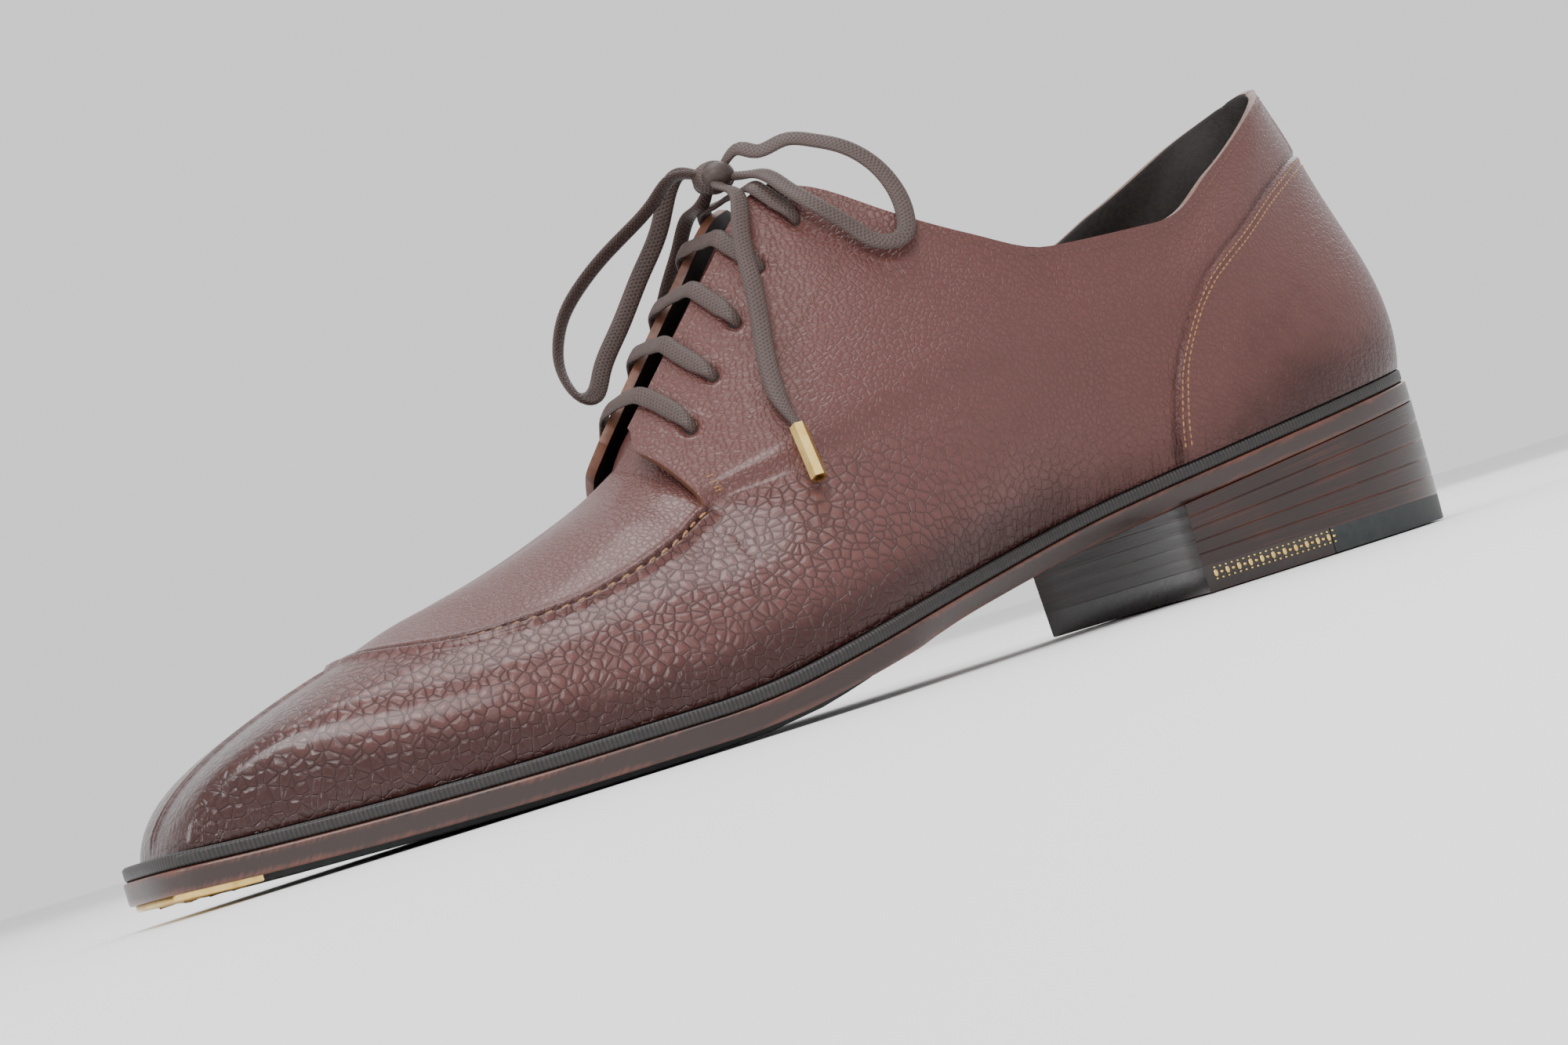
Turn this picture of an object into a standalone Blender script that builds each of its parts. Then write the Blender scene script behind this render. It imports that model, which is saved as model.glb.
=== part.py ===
"""Left split toe derby: a leather dress shoe with an apron, open lacing, a welted sole and a stacked heel.

Metres, +Z up, toe towards -X, outer (lateral) side towards -Y. The lasted upper is worked out from ribs
that leave the sole, meet the apron seam or the counter seam, and end on the centre line, the edge of the
facing or the collar.
"""
import math

import bmesh
import bpy
import numpy as np
from mathutils import Vector

# Driving sizes of the last and the sole
SOLE_LENGTH = 0.304
TOE_WIDTH = 0.052
BALL_WIDTH = 0.104
WAIST_WIDTH = 0.064
SEAT_WIDTH = 0.071
TOE_SPRING = 0.0034
WAIST_LIFT = 0.0178
SEAT_RISE = 0.0085
VAMP_HEIGHT = 0.040
INSTEP_HEIGHT = 0.107
COLLAR_HEIGHT = 0.078
BACK_HEIGHT = 0.105

# Leather and other walls
UPPER_WALL = 0.0022
APRON_RIDGE = 0.0009
COUNTER_STEP = 0.0008
FACING_STEP = 0.0018
TONGUE_WALL = 0.0020
TONGUE_CROWN = 0.0016
WELT_THICKNESS = 0.0026
OUTSOLE_THICKNESS = 0.0046
HALF_SOLE_THICKNESS = 0.0012
HALF_SOLE_MARGIN = 0.0048
HALF_SOLE_ENDS = (0.402, 0.520)
HALF_SOLE_BULGE = 0.55
HALF_SOLE_HANDLES = ((1.15, 0.30), (1.00, -0.10))
INSOLE_RISE = 0.0022
INSOLE_CLEARANCE = 0.0010
WELT_MARGIN = 0.0042
WAIST_BEVEL = 0.0042
EDGE_ROUNDING = 0.0005

# Heel
HEEL_LENGTH = 0.079
HEEL_LIFTS = 5
TOP_PIECE_THICKNESS = 0.0052
TOP_PIECE_JOINT = 0.032
TOP_PIECE_JOINT_SLANT = 0.022
BREAST_HOLLOW = 0.0065
HEEL_CORNER = 0.0030
HEEL_TAPER = 0.0010

# Toe plate
TOE_PLATE_LENGTH = 0.0168
TOE_PLATE_INSET = 0.0011

# Lacing
EYELET_INSET = 0.0152
LACE_WIDTH = 0.0046
LACE_THICKNESS = 0.0016
LACE_DIAMETER = 0.0027
CROWN_RISE = 0.0008
KNOT_LENGTH = 0.0120
KNOT_WIDTH = 0.0085
KNOT_HEIGHT = 0.0078
LEAVE_CLEARANCE = 0.22
AGLET_LENGTH = 0.0125
AGLET_DIAMETER = 0.0034
AGLET_BORE = 0.0022
AGLET_DEPTH = 0.0040

# Clearances
GAP = 0.0003
LACE_GAP = 0.0006

# Widths that the shares across in the tables follow
WIDTHS = {"toe": TOE_WIDTH, "ball": BALL_WIDTH, "waist": WAIST_WIDTH, "seat": SEAT_WIDTH}

# Outline of the sole: rib, share of the length from the toe, width followed, shares lateral and medial
OUTLINE = [
    (0.00, 0.0000, "toe", -0.048, 0.048),
    (0.10, 0.0018, "toe", 0.135, 0.230),
    (0.22, 0.0140, "toe", 0.310, 0.405),
    (0.32, 0.0460, "toe", 0.400, 0.500),
    (0.45, 0.1055, "ball", 0.270, 0.312),
    (0.60, 0.1842, "ball", 0.372, 0.382),
    (0.75, 0.2632, "ball", 0.450, 0.438),
    (0.90, 0.3421, "ball", 0.512, 0.472),
    (1.00, 0.3980, "ball", 0.531, 0.469),
    (1.30, 0.4605, "ball", 0.516, 0.432),
    (1.65, 0.5263, "waist", 0.735, 0.585),
    (2.00, 0.5921, "waist", 0.612, 0.482),
    (2.25, 0.6711, "waist", 0.525, 0.475),
    (2.45, 0.7515, "seat", 0.486, 0.472),
    (2.62, 0.8290, "seat", 0.507, 0.493),
    (2.78, 0.9160, "seat", 0.478, 0.466),
    (2.90, 0.9740, "seat", 0.345, 0.340),
    (3.00, 1.0000, "seat", 0.000, 0.000),
]

# Underside of the sole: share of the way from the toe to the heel breast, shares of toe spring and waist lift
UNDERSIDE = [
    (0.000, 1.00, 0.000),
    (0.068, 0.65, 0.000),
    (0.149, 0.34, 0.000),
    (0.257, 0.08, 0.000),
    (0.338, 0.00, 0.000),
    (0.446, 0.00, 0.000),
    (0.507, 0.00, 0.045),
    (0.581, 0.00, 0.190),
    (0.676, 0.00, 0.400),
    (0.797, 0.00, 0.640),
    (0.919, 0.00, 0.875),
    (1.000, 0.00, 1.000),
]

# Apron seam, then the middle of the quarter, then the top of the counter:
# rib, share of the length, width followed, shares lateral and medial, height followed, share of it
SEAM = [
    (0.00, 0.1710, "toe", -0.044, 0.044, "vamp", 0.950),
    (0.10, 0.1743, "toe", 0.115, 0.200, "vamp", 0.945),
    (0.22, 0.1875, "toe", 0.290, 0.360, "vamp", 0.915),
    (0.32, 0.2072, "ball", 0.210, 0.240, "vamp", 0.880),
    (0.45, 0.2401, "ball", 0.262, 0.276, "vamp", 0.860),
    (0.60, 0.2829, "ball", 0.300, 0.298, "vamp", 0.868),
    (0.75, 0.3257, "ball", 0.315, 0.305, "vamp", 0.925),
    (0.90, 0.3717, "ball", 0.300, 0.290, "vamp", 1.030),
    (1.00, 0.4013, "ball", 0.276, 0.264, "vamp", 1.125),
    (1.30, 0.4507, "ball", 0.330, 0.305, "vamp", 1.180),
    (1.65, 0.5197, "waist", 0.590, 0.515, "collar", 0.640),
    (2.00, 0.5987, "waist", 0.590, 0.505, "collar", 0.680),
    (2.25, 0.6875, "waist", 0.548, 0.490, "collar", 0.725),
    (2.45, 0.7796, "seat", 0.480, 0.465, "collar", 0.765),
    (2.62, 0.8487, "seat", 0.436, 0.424, "back", 0.665),
    (2.78, 0.9178, "seat", 0.318, 0.313, "back", 0.768),
    (2.90, 0.9660, "seat", 0.186, 0.184, "back", 0.822),
    (3.00, 0.9912, "seat", 0.000, 0.000, "back", 0.835),
]

# Centre line of the vamp: rib, share of the length, width followed, share across, share of the vamp height
CREST = [
    (0.00, 0.2170, "toe", 0.036, 1.055),
    (0.22, 0.2240, "toe", 0.034, 1.066),
    (0.45, 0.2500, "toe", 0.030, 1.105),
    (0.60, 0.2830, "toe", 0.024, 1.165),
    (0.75, 0.3220, "toe", 0.016, 1.258),
    (0.90, 0.3620, "toe", 0.008, 1.385),
    (1.00, 0.3882, "toe", 0.000, 1.490),
]

# Edge of the facing: rib, share of the length, width followed, shares lateral and medial,
# shares of the instep height lateral and medial
FACING = [
    (1.00, 0.3895, "toe", 0.130, 0.130, 0.580, 0.582),
    (1.30, 0.4330, "toe", 0.138, 0.138, 0.708, 0.712),
    (1.65, 0.4890, "toe", 0.150, 0.150, 0.868, 0.874),
    (1.90, 0.5320, "toe", 0.165, 0.165, 0.985, 0.992),
    (2.00, 0.5475, "toe", 0.205, 0.205, 1.000, 1.008),
]

# Collar: rib, share of the length, width followed, shares lateral and medial, height followed,
# shares of it lateral and medial
COLLAR = [
    (2.00, 0.5475, "seat", 0.150, 0.150, "instep", 1.000, 1.008),
    (2.06, 0.5720, "seat", 0.240, 0.232, "instep", 0.962, 0.976),
    (2.14, 0.6080, "seat", 0.372, 0.345, "instep", 0.868, 0.897),
    (2.22, 0.6480, "seat", 0.438, 0.402, "collar", 1.090, 1.140),
    (2.32, 0.7030, "seat", 0.452, 0.420, "collar", 1.006, 1.068),
    (2.45, 0.7930, "seat", 0.428, 0.405, "collar", 1.000, 1.058),
    (2.62, 0.8660, "seat", 0.352, 0.338, "back", 0.828, 0.856),
    (2.78, 0.9340, "seat", 0.246, 0.240, "back", 0.938, 0.948),
    (2.90, 0.9640, "seat", 0.124, 0.122, "back", 0.982, 0.985),
    (3.00, 0.9730, "seat", 0.000, 0.000, "back", 1.000, 1.000),
]

# Shape of each rib: rib, lean outwards at the sole, reach of the first handle, slope at the seam in
# degrees, reach of the second, third and fourth handles, slope at the top in degrees
SHAPE = [
    (0.00, -0.30, 0.26, 15.0, 0.36, 0.34, 0.34, 8.0),
    (0.22, -0.16, 0.31, 18.0, 0.34, 0.34, 0.34, 5.0),
    (0.32, -0.06, 0.36, 23.0, 0.34, 0.34, 0.34, 3.0),
    (0.45, 0.02, 0.40, 33.0, 0.34, 0.34, 0.36, 2.0),
    (0.75, 0.06, 0.42, 43.0, 0.34, 0.36, 0.38, 0.0),
    (1.00, 0.10, 0.40, 49.0, 0.34, 0.36, 0.36, 14.0),
    (1.30, 0.14, 0.38, 58.0, 0.34, 0.36, 0.34, 38.0),
    (1.65, 0.24, 0.36, 66.0, 0.34, 0.34, 0.34, 42.0),
    (2.00, 0.30, 0.36, 73.0, 0.34, 0.34, 0.34, 50.0),
    (2.20, 0.28, 0.36, 80.0, 0.34, 0.34, 0.34, 68.0),
    (2.45, 0.18, 0.34, 84.0, 0.34, 0.34, 0.34, 80.0),
    (2.78, 0.26, 0.36, 78.0, 0.36, 0.34, 0.34, 74.0),
    (2.92, 0.28, 0.37, 78.0, 0.36, 0.34, 0.34, 74.0),
    (3.00, 0.20, 0.37, 78.0, 0.36, 0.34, 0.34, 74.0),
]

# Margin of the sole beyond the upper: rib, share of the welt margin
MARGIN = [
    (0.00, 1.00),
    (0.60, 1.00),
    (1.20, 0.90),
    (1.65, 0.55),
    (2.10, 0.50),
    (2.45, 0.38),
    (3.00, 0.34),
]

# Edge of the sole: share of the length, share of the waist bevel
BEVEL = [(0.000, 0.0), (0.470, 0.0), (0.505, 0.55), (0.560, 1.0), (0.690, 1.0), (0.745, 0.25), (1.0, 0.0)]

# Pairs of eyelets: rib, share of the inset from the facing's edge
EYELETS = [(1.180, 1.00), (1.380, 0.91), (1.560, 0.82), (1.745, 0.74), (1.935, 0.74)]

# Section of a lace bar: shares of its half width and of its half thickness
LACE_SECTION = [(-1.0, 0.0), (-0.85, 0.8), (0.0, 1.0), (0.85, 0.8), (1.0, 0.0), (0.85, -0.8), (0.0, -1.0),
                (-0.85, -0.8)]

# Directions in which the bow's strands leave the knot: along, across, up
LEAVES = {
    "loop_lateral": ((0.62, -0.62, 0.48), (0.40, -0.88, -0.25)),
    "loop_medial": ((-0.85, 0.30, 0.30), (-0.45, 0.80, 0.40)),
    "end_lateral": ((-0.30, -0.85, -0.40),),
    "end_medial": ((-0.15, 0.85, -0.50),),
}

# Routes of the bow's strands, counted from the middle of the knot: along, across, up
ROUTES = {
    "loop_lateral": [
        (0.0072, -0.0075, 0.0022),
        (0.0128, -0.0105, 0.0027),
        (0.0174, -0.0135, 0.0009),
        (0.0214, -0.0170, -0.0021),
        (0.0252, -0.0212, -0.0078),
        (0.0262, -0.0250, -0.0143),
        (0.0247, -0.0285, -0.0212),
        (0.0215, -0.0300, -0.0254),
        (0.0170, -0.0290, -0.0251),
        (0.0128, -0.0262, -0.0200),
        (0.0085, -0.0232, -0.0140),
        (0.0060, -0.0175, -0.0080),
        (0.0046, -0.0110, -0.0030),
    ],
    "loop_medial": [
        (-0.0105, 0.0080, -0.0005),
        (-0.0169, 0.0125, -0.0052),
        (-0.0235, 0.0145, -0.0092),
        (-0.0294, 0.0160, -0.0136),
        (-0.0347, 0.0165, -0.0188),
        (-0.0379, 0.0160, -0.0240),
        (-0.0397, 0.0145, -0.0311),
        (-0.0380, 0.0135, -0.0362),
        (-0.0340, 0.0155, -0.0365),
        (-0.0290, 0.0185, -0.0315),
        (-0.0215, 0.0200, -0.0235),
        (-0.0135, 0.0185, -0.0135),
        (-0.0080, 0.0140, -0.0050),
    ],
    "end_lateral": [
        (-0.0020, -0.0100, -0.0050),
        (-0.0042, -0.0145, -0.0105),
        (-0.0068, -0.0170, -0.0155),
        (-0.0111, -0.0233, -0.0276),
        (-0.0135, -0.0258, -0.0358),
        (-0.0168, -0.0299, -0.0446),
        (-0.0181, -0.0334, -0.0525),
        (-0.0178, -0.0362, -0.0572),
    ],
    "end_medial": [
        (-0.0020, 0.0120, -0.0050),
        (-0.0042, 0.0165, -0.0105),
        (-0.0068, 0.0190, -0.0155),
        (-0.0111, 0.0253, -0.0276),
        (-0.0135, 0.0278, -0.0358),
        (-0.0168, 0.0319, -0.0446),
        (-0.0181, 0.0354, -0.0525),
        (-0.0178, 0.0382, -0.0572),
    ],
}

# Where the tips of the two ends point: along, across, up
TIPS = {"end_lateral": (-0.12, -0.41, -0.90), "end_medial": (-0.12, 0.41, -0.90)}

VAMP_RIBS = (0.0, 0.05, 0.10, 0.16, 0.22, 0.27, 0.32, 0.385, 0.45, 0.525, 0.60, 0.675, 0.75, 0.825, 0.90,
             0.955, 1.0)
FACING_RIBS = (1.004, 1.12, 1.25, 1.40, 1.55, 1.70, 1.82, 1.92, 2.0)
COLLAR_RIBS = (2.05, 2.10, 2.16, 2.22, 2.29, 2.37, 2.440, 2.452, 2.53, 2.61, 2.69, 2.76, 2.82, 2.88, 2.94,
               3.0)
RIBS = VAMP_RIBS + FACING_RIBS + COLLAR_RIBS
THROAT_RIB = VAMP_RIBS[-1]
FACING_TOP_RIB = FACING_RIBS[-1]
COUNTER_RIB = (COLLAR_RIBS[6] + COLLAR_RIBS[7]) / 2
HEEL_RIBS = COLLAR_RIBS[6:]
SOLE_RIBS = VAMP_RIBS + (1.12, 1.25, 1.40, 1.55, 1.70, 1.85, 2.0, 2.12, 2.25, 2.37) + HEEL_RIBS
INSOLE_RIBS = VAMP_RIBS[:-1:2] + (0.955, 1.12, 1.40, 1.70, 2.0, 2.22, 2.44) + HEEL_RIBS[2:]
TONGUE_RIBS = (1.012, 1.12, 1.25, 1.40, 1.55, 1.70, 1.85, 1.97)
TONGUE_ROWS = (1.42, 1.56, 1.70, 1.84, 1.96)
SIDES = (-1, 1)

# Rows up a rib: below 1 from the sole to the seam, above 1 from the seam to the top
ROWS = (0.0, 0.10, 0.24, 0.40, 0.57, 0.74, 0.88, 0.965, 1.0, 1.05, 1.20, 1.42, 1.64, 1.84, 2.0)
SEAM_ROW, TOP_ROW = ROWS[8], ROWS[-1]

# Colours: red, green, blue, roughness, metallic
FINISHES = {
    "grain_leather": (0.150, 0.050, 0.040, 0.38, 0.0),
    "lining_leather": (0.020, 0.014, 0.012, 0.60, 0.0),
    "sole_leather": (0.200, 0.070, 0.050, 0.30, 0.0),
    "stacked_leather": (0.055, 0.018, 0.014, 0.30, 0.0),
    "rubber": (0.040, 0.050, 0.050, 0.70, 0.0),
    "waxed_lace": (0.100, 0.060, 0.050, 0.60, 0.0),
    "brass": (0.800, 0.560, 0.220, 0.25, 1.0),
}


class Track:
    """A smooth line of several values through the rows of a table, read at any place between them."""

    def __init__(self, places, values, flat=()):
        """Columns named in flat run level at both ends, as a line that is mirrored there does."""
        self.places = np.asarray(places, float)
        self.values = np.asarray(values, float).reshape(len(places), -1)
        steps = np.diff(self.places)[:, None]
        slopes = np.diff(self.values, axis=0) / steps
        self.tangents = np.zeros_like(self.values)
        inner = (slopes[:-1] * steps[1:] + slopes[1:] * steps[:-1]) / (steps[:-1] + steps[1:])
        limit = 3.0 * np.minimum(np.abs(slopes[:-1]), np.abs(slopes[1:]))
        turned = slopes[:-1] * slopes[1:] <= 0.0
        self.tangents[1:-1] = np.where(turned, 0.0, np.clip(inner, -limit, limit))
        self.tangents[0] = slopes[0]
        self.tangents[-1] = slopes[-1]
        for column in flat:
            self.tangents[[0, -1], column] = 0.0

    def at(self, place):
        place = min(max(place, self.places[0]), self.places[-1])
        row = int(min(np.searchsorted(self.places, place, side="right") - 1, len(self.places) - 2))
        step = self.places[row + 1] - self.places[row]
        t = (place - self.places[row]) / step
        ease = 3 * t * t - 2 * t ** 3
        return (self.values[row] * (1 - ease) + self.values[row + 1] * ease
                + step * self.tangents[row] * (t ** 3 - 2 * t * t + t)
                + step * self.tangents[row + 1] * (t ** 3 - t * t))


class Loop:
    """A closed smooth line through points, with even bending, read by the number of the point."""

    def __init__(self, points):
        self.points = np.asarray(points, float)
        steps = np.linalg.norm(np.roll(self.points, -1, axis=0)[:, :2] - self.points[:, :2], axis=1)
        before = np.roll(steps, 1)
        count = len(self.points)
        matrix = np.zeros((count, count))
        right = np.zeros_like(self.points)
        for i in range(count):
            last, following = (i - 1) % count, (i + 1) % count
            matrix[i, last] += steps[i]
            matrix[i, i] += 2 * (steps[i] + before[i])
            matrix[i, following] += before[i]
            right[i] = 3 * (steps[i] * (self.points[i] - self.points[last]) / before[i]
                            + before[i] * (self.points[following] - self.points[i]) / steps[i])
        self.tangents = np.linalg.solve(matrix, right)
        self.steps = steps

    def at(self, number):
        """The point and the direction of travel there."""
        i = int(math.floor(number)) % len(self.points)
        t = number - math.floor(number)
        j = (i + 1) % len(self.points)
        step = self.steps[i]
        ease = 3 * t * t - 2 * t ** 3
        point = (self.points[i] * (1 - ease) + self.points[j] * ease
                 + step * self.tangents[i] * (t ** 3 - 2 * t * t + t)
                 + step * self.tangents[j] * (t ** 3 - t * t))
        way = (6 * (t - t * t) * (self.points[j] - self.points[i]) / step
               + self.tangents[i] * (3 * t * t - 4 * t + 1) + self.tangents[j] * (3 * t * t - 2 * t))
        return point, way


def loop_of(table):
    """One loop round the shoe from a table: toe, lateral side, heel, medial side."""
    lateral = [(row[1] * SOLE_LENGTH, -row[3] * WIDTHS[row[2]]) for row in table]
    medial = [(row[1] * SOLE_LENGTH, row[4] * WIDTHS[row[2]]) for row in table]
    return Loop(lateral + medial[-2:0:-1])


def number_of(table, rib, side):
    """Number of a rib on its table's loop, which counts back from the toe on the medial side."""
    places = [row[0] for row in table]
    number = float(np.interp(rib, places, range(len(places))))
    return number if side < 0 else 2 * (len(places) - 1) - number


OUTLINE_LOOP = loop_of(OUTLINE)
SEAM_LOOP = loop_of(SEAM)
UNDERSIDE_TRACK = Track([row[0] for row in UNDERSIDE], [row[1:] for row in UNDERSIDE])
SEAM_HEIGHTS = {"vamp": VAMP_HEIGHT, "collar": COLLAR_HEIGHT, "back": BACK_HEIGHT, "instep": INSTEP_HEIGHT}
SEAM_TRACK = Track([row[0] for row in SEAM], [SEAM_HEIGHTS[row[5]] * row[6] for row in SEAM])
CREST_TRACK = Track(
    [row[0] for row in CREST],
    [(row[1] * SOLE_LENGTH, row[3] * WIDTHS[row[2]], row[4] * VAMP_HEIGHT) for row in CREST])
FACING_TRACK = Track(
    [row[0] for row in FACING],
    [(row[1] * SOLE_LENGTH, row[3] * WIDTHS[row[2]], row[4] * WIDTHS[row[2]], row[5] * INSTEP_HEIGHT,
      row[6] * INSTEP_HEIGHT) for row in FACING])
COLLAR_TRACK = Track(
    [row[0] for row in COLLAR],
    [(row[1] * SOLE_LENGTH, row[3] * WIDTHS[row[2]], row[4] * WIDTHS[row[2]],
      row[6] * SEAM_HEIGHTS[row[5]], row[7] * SEAM_HEIGHTS[row[5]]) for row in COLLAR])
COLLAR_TRACK.tangents[-1, [0, 3, 4]] = 0.0
SHAPE_TRACK = Track([row[0] for row in SHAPE], [row[1:] for row in SHAPE], flat=range(7))
MARGIN_TRACK = Track([row[0] for row in MARGIN], [row[1] for row in MARGIN])
BEVEL_TRACK = Track([row[0] for row in BEVEL], [row[1] for row in BEVEL])


def place(point):
    """A point counted from the toe, in the shoe's own frame."""
    return Vector((point[0] - MIDDLE_X, point[1] - MIDDLE_Y, point[2]))


def underside(along):
    """Height of the leather sole's underside at a distance from the toe."""
    breast = SOLE_LENGTH - HEEL_LENGTH
    spring, lift = UNDERSIDE_TRACK.at(min(along / breast, 1.0))
    rise = max(along - breast, 0.0) / HEEL_LENGTH
    return HALF_SOLE_THICKNESS + spring * TOE_SPRING + lift * WAIST_LIFT + rise * SEAT_RISE


def welt_top(along):
    return underside(along) + OUTSOLE_THICKNESS + GAP + WELT_THICKNESS


def outline(rib, side, inset=0.0):
    """A point of the sole's outline, moved inwards by inset, and the outward direction there."""
    point, way = OUTLINE_LOOP.at(number_of(OUTLINE, rib, side))
    out = np.array([-way[1], way[0]])
    out /= -np.linalg.norm(out)
    return point - out * inset, out


def margin(rib):
    return float(MARGIN_TRACK.at(rib)[0]) * WELT_MARGIN


def top_point(rib, side):
    """Where a rib ends: on the centre line, the edge of the facing or the collar."""
    if rib <= THROAT_RIB:
        return CREST_TRACK.at(rib)
    track = FACING_TRACK if rib < FACING_TOP_RIB else COLLAR_TRACK
    along, lateral, medial, low, high = track.at(rib)
    return np.array([along, -lateral, low]) if side < 0 else np.array([along, medial, high])


def rib_controls(rib, side):
    """Points of the two cubic curves that make a rib, from the sole to its top."""
    foot, out = outline(rib, side, margin(rib))
    lean, reach_1, slope_mid, reach_2, reach_3, reach_4, slope_top = SHAPE_TRACK.at(rib)
    start = np.array([foot[0], foot[1], welt_top(foot[0]) + GAP])
    seam_xy = SEAM_LOOP.at(number_of(SEAM, rib, side))[0]
    seam = np.array([seam_xy[0], seam_xy[1], SEAM_TRACK.at(rib)[0]])
    top = top_point(rib, side)
    inward = top - start
    inward[2] = 0.0
    inward /= np.linalg.norm(inward)
    rise = lean * np.array([out[0], out[1], 0.0]) + np.array([0.0, 0.0, 1.0])
    rise /= np.linalg.norm(rise)
    mid = math.radians(slope_mid)
    over = inward * math.cos(mid) + np.array([0.0, 0.0, math.sin(mid)])
    end = math.radians(slope_top)
    last = inward * math.cos(end) + np.array([0.0, 0.0, math.sin(end)])
    low_span = np.linalg.norm(seam - start)
    high_span = np.linalg.norm(top - seam)
    return (start, start + rise * reach_1 * low_span, seam - over * reach_2 * low_span, seam,
            seam + over * reach_3 * high_span, top - last * reach_4 * high_span, top)


def rib_point(rib, side, row, controls=None):
    """A point of the lasted surface: row 0 is at the sole, 1 on the seam and 2 at the top."""
    points = controls or rib_controls(rib, side)
    a, b, c, d = points[:4] if row <= SEAM_ROW else points[3:]
    t = row if row <= SEAM_ROW else row - SEAM_ROW
    s = 1 - t
    return a * s ** 3 + b * 3 * s * s * t + c * 3 * s * t * t + d * t ** 3


# The shoe is centred on the middle of its length, counter included, and of its widest stretch
BACK = max(rib_point(RIBS[-1], -1, row)[0] for row in ROWS) + COUNTER_STEP
WIDEST = [OUTLINE_LOOP.at(number / 8)[0][1] for number in range(8 * len(OUTLINE_LOOP.points))]
MIDDLE_X = max(SOLE_LENGTH, BACK) / 2
MIDDLE_Y = (max(WIDEST) + min(WIDEST)) / 2


def surface_normal(rib, side, row, ribs_apart=0.01, rows_apart=0.02):
    """Outward direction of the lasted surface, from its two slopes."""
    low, high = max(rib - ribs_apart, 0.0), min(rib + ribs_apart, RIBS[-1])
    if rib <= THROAT_RIB:
        high = min(high, THROAT_RIB)
    if rib <= THROAT_RIB and row == TOP_ROW:
        run, _, rise = CREST_TRACK.at(high) - CREST_TRACK.at(low)
        return np.array([-rise, 0.0, run]) / math.hypot(run, rise)
    along = rib_point(high, side, row) - rib_point(low, side, row)
    up = (rib_point(rib, side, min(row + rows_apart, TOP_ROW))
          - rib_point(rib, side, max(row - rows_apart, 0.0)))
    normal = np.cross(along, up) * side
    return -normal / np.linalg.norm(normal)


def smooth_step(value):
    value = min(max(value, 0.0), 1.0)
    return value * value * (3 - 2 * value)


def raised(rib, row):
    """How far overlays stand out of the lasted surface: apron ridge, facing and counter."""
    ridge = APRON_RIDGE * max(0.0, 1 - abs(row - SEAM_ROW) / 0.05) if rib <= THROAT_RIB + 0.02 else 0.0
    facing = 0.0
    if THROAT_RIB < rib <= FACING_TOP_RIB + 0.2 and row > SEAM_ROW:
        fade = 1 - smooth_step((rib - FACING_TOP_RIB) / 0.2)
        facing = FACING_STEP * smooth_step((row - SEAM_ROW) / 0.25) * fade
    counter = COUNTER_STEP if rib > COUNTER_RIB and row <= SEAM_ROW else 0.0
    return ridge + facing + counter


def link(obj, finish):
    """Puts an object in the scene with its own material and smooth shading."""
    bpy.context.scene.collection.objects.link(obj)
    red, green, blue, roughness, metallic = FINISHES[finish]
    material = bpy.data.materials.new(obj.name + "_" + finish)
    material.use_nodes = True
    shader = material.node_tree.nodes["Principled BSDF"]
    shader.inputs["Base Color"].default_value = (red, green, blue, 1.0)
    shader.inputs["Roughness"].default_value = roughness
    shader.inputs["Metallic"].default_value = metallic
    obj.data.materials.append(material)
    return obj


def finish_mesh(name, bm, finish, sharp=35.0):
    bmesh.ops.recalc_face_normals(bm, faces=bm.faces)
    bmesh.ops.triangulate(bm, faces=[face for face in bm.faces if len(face.verts) > 3])
    if bm.calc_volume(signed=True) < 0:
        bmesh.ops.reverse_faces(bm, faces=bm.faces)
    mesh = bpy.data.meshes.new(name)
    bm.to_mesh(mesh)
    bm.free()
    mesh.shade_smooth()
    mesh.set_sharp_from_angle(angle=math.radians(sharp))
    return link(bpy.data.objects.new(name, mesh), finish)


def skin_rows(bm, rings, closed=True):
    """Joins rings of as many points into a skin of four-sided faces, and gives the rings of vertices."""
    made = [[bm.verts.new(point) for point in ring] for ring in rings]
    for low, high in zip(made, made[1:]):
        count = len(low)
        for i in range(count if closed else count - 1):
            j = (i + 1) % count
            bm.faces.new((low[i], low[j], high[j], high[i]))
    return made


def cap_ladder(bm, ring):
    """Closes a ring that starts at the toe and counts round: rungs join its two sides."""
    count = len(ring)
    bm.faces.new((ring[0], ring[1], ring[-1]))
    pair = 1
    while pair + 1 < count - pair - 1:
        bm.faces.new((ring[pair], ring[pair + 1], ring[-(pair + 1)], ring[-pair]))
        pair += 1
    if pair + 1 == count - pair - 1:
        bm.faces.new((ring[pair], ring[pair + 1], ring[-pair]))


def around(ribs, inset, height):
    """Ring round the sole: inset and height are functions of rib, side and distance from the toe."""
    ring = []
    stops = [(rib, -1) for rib in ribs] + [(rib, 1) for rib in reversed(ribs[1:-1])]
    for rib, side in stops:
        point = outline(rib, side)[0]
        point, out = outline(rib, side, inset(rib, point[0]))
        ring.append(place((point[0], point[1], height(rib, point[0]))))
    return ring


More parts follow.
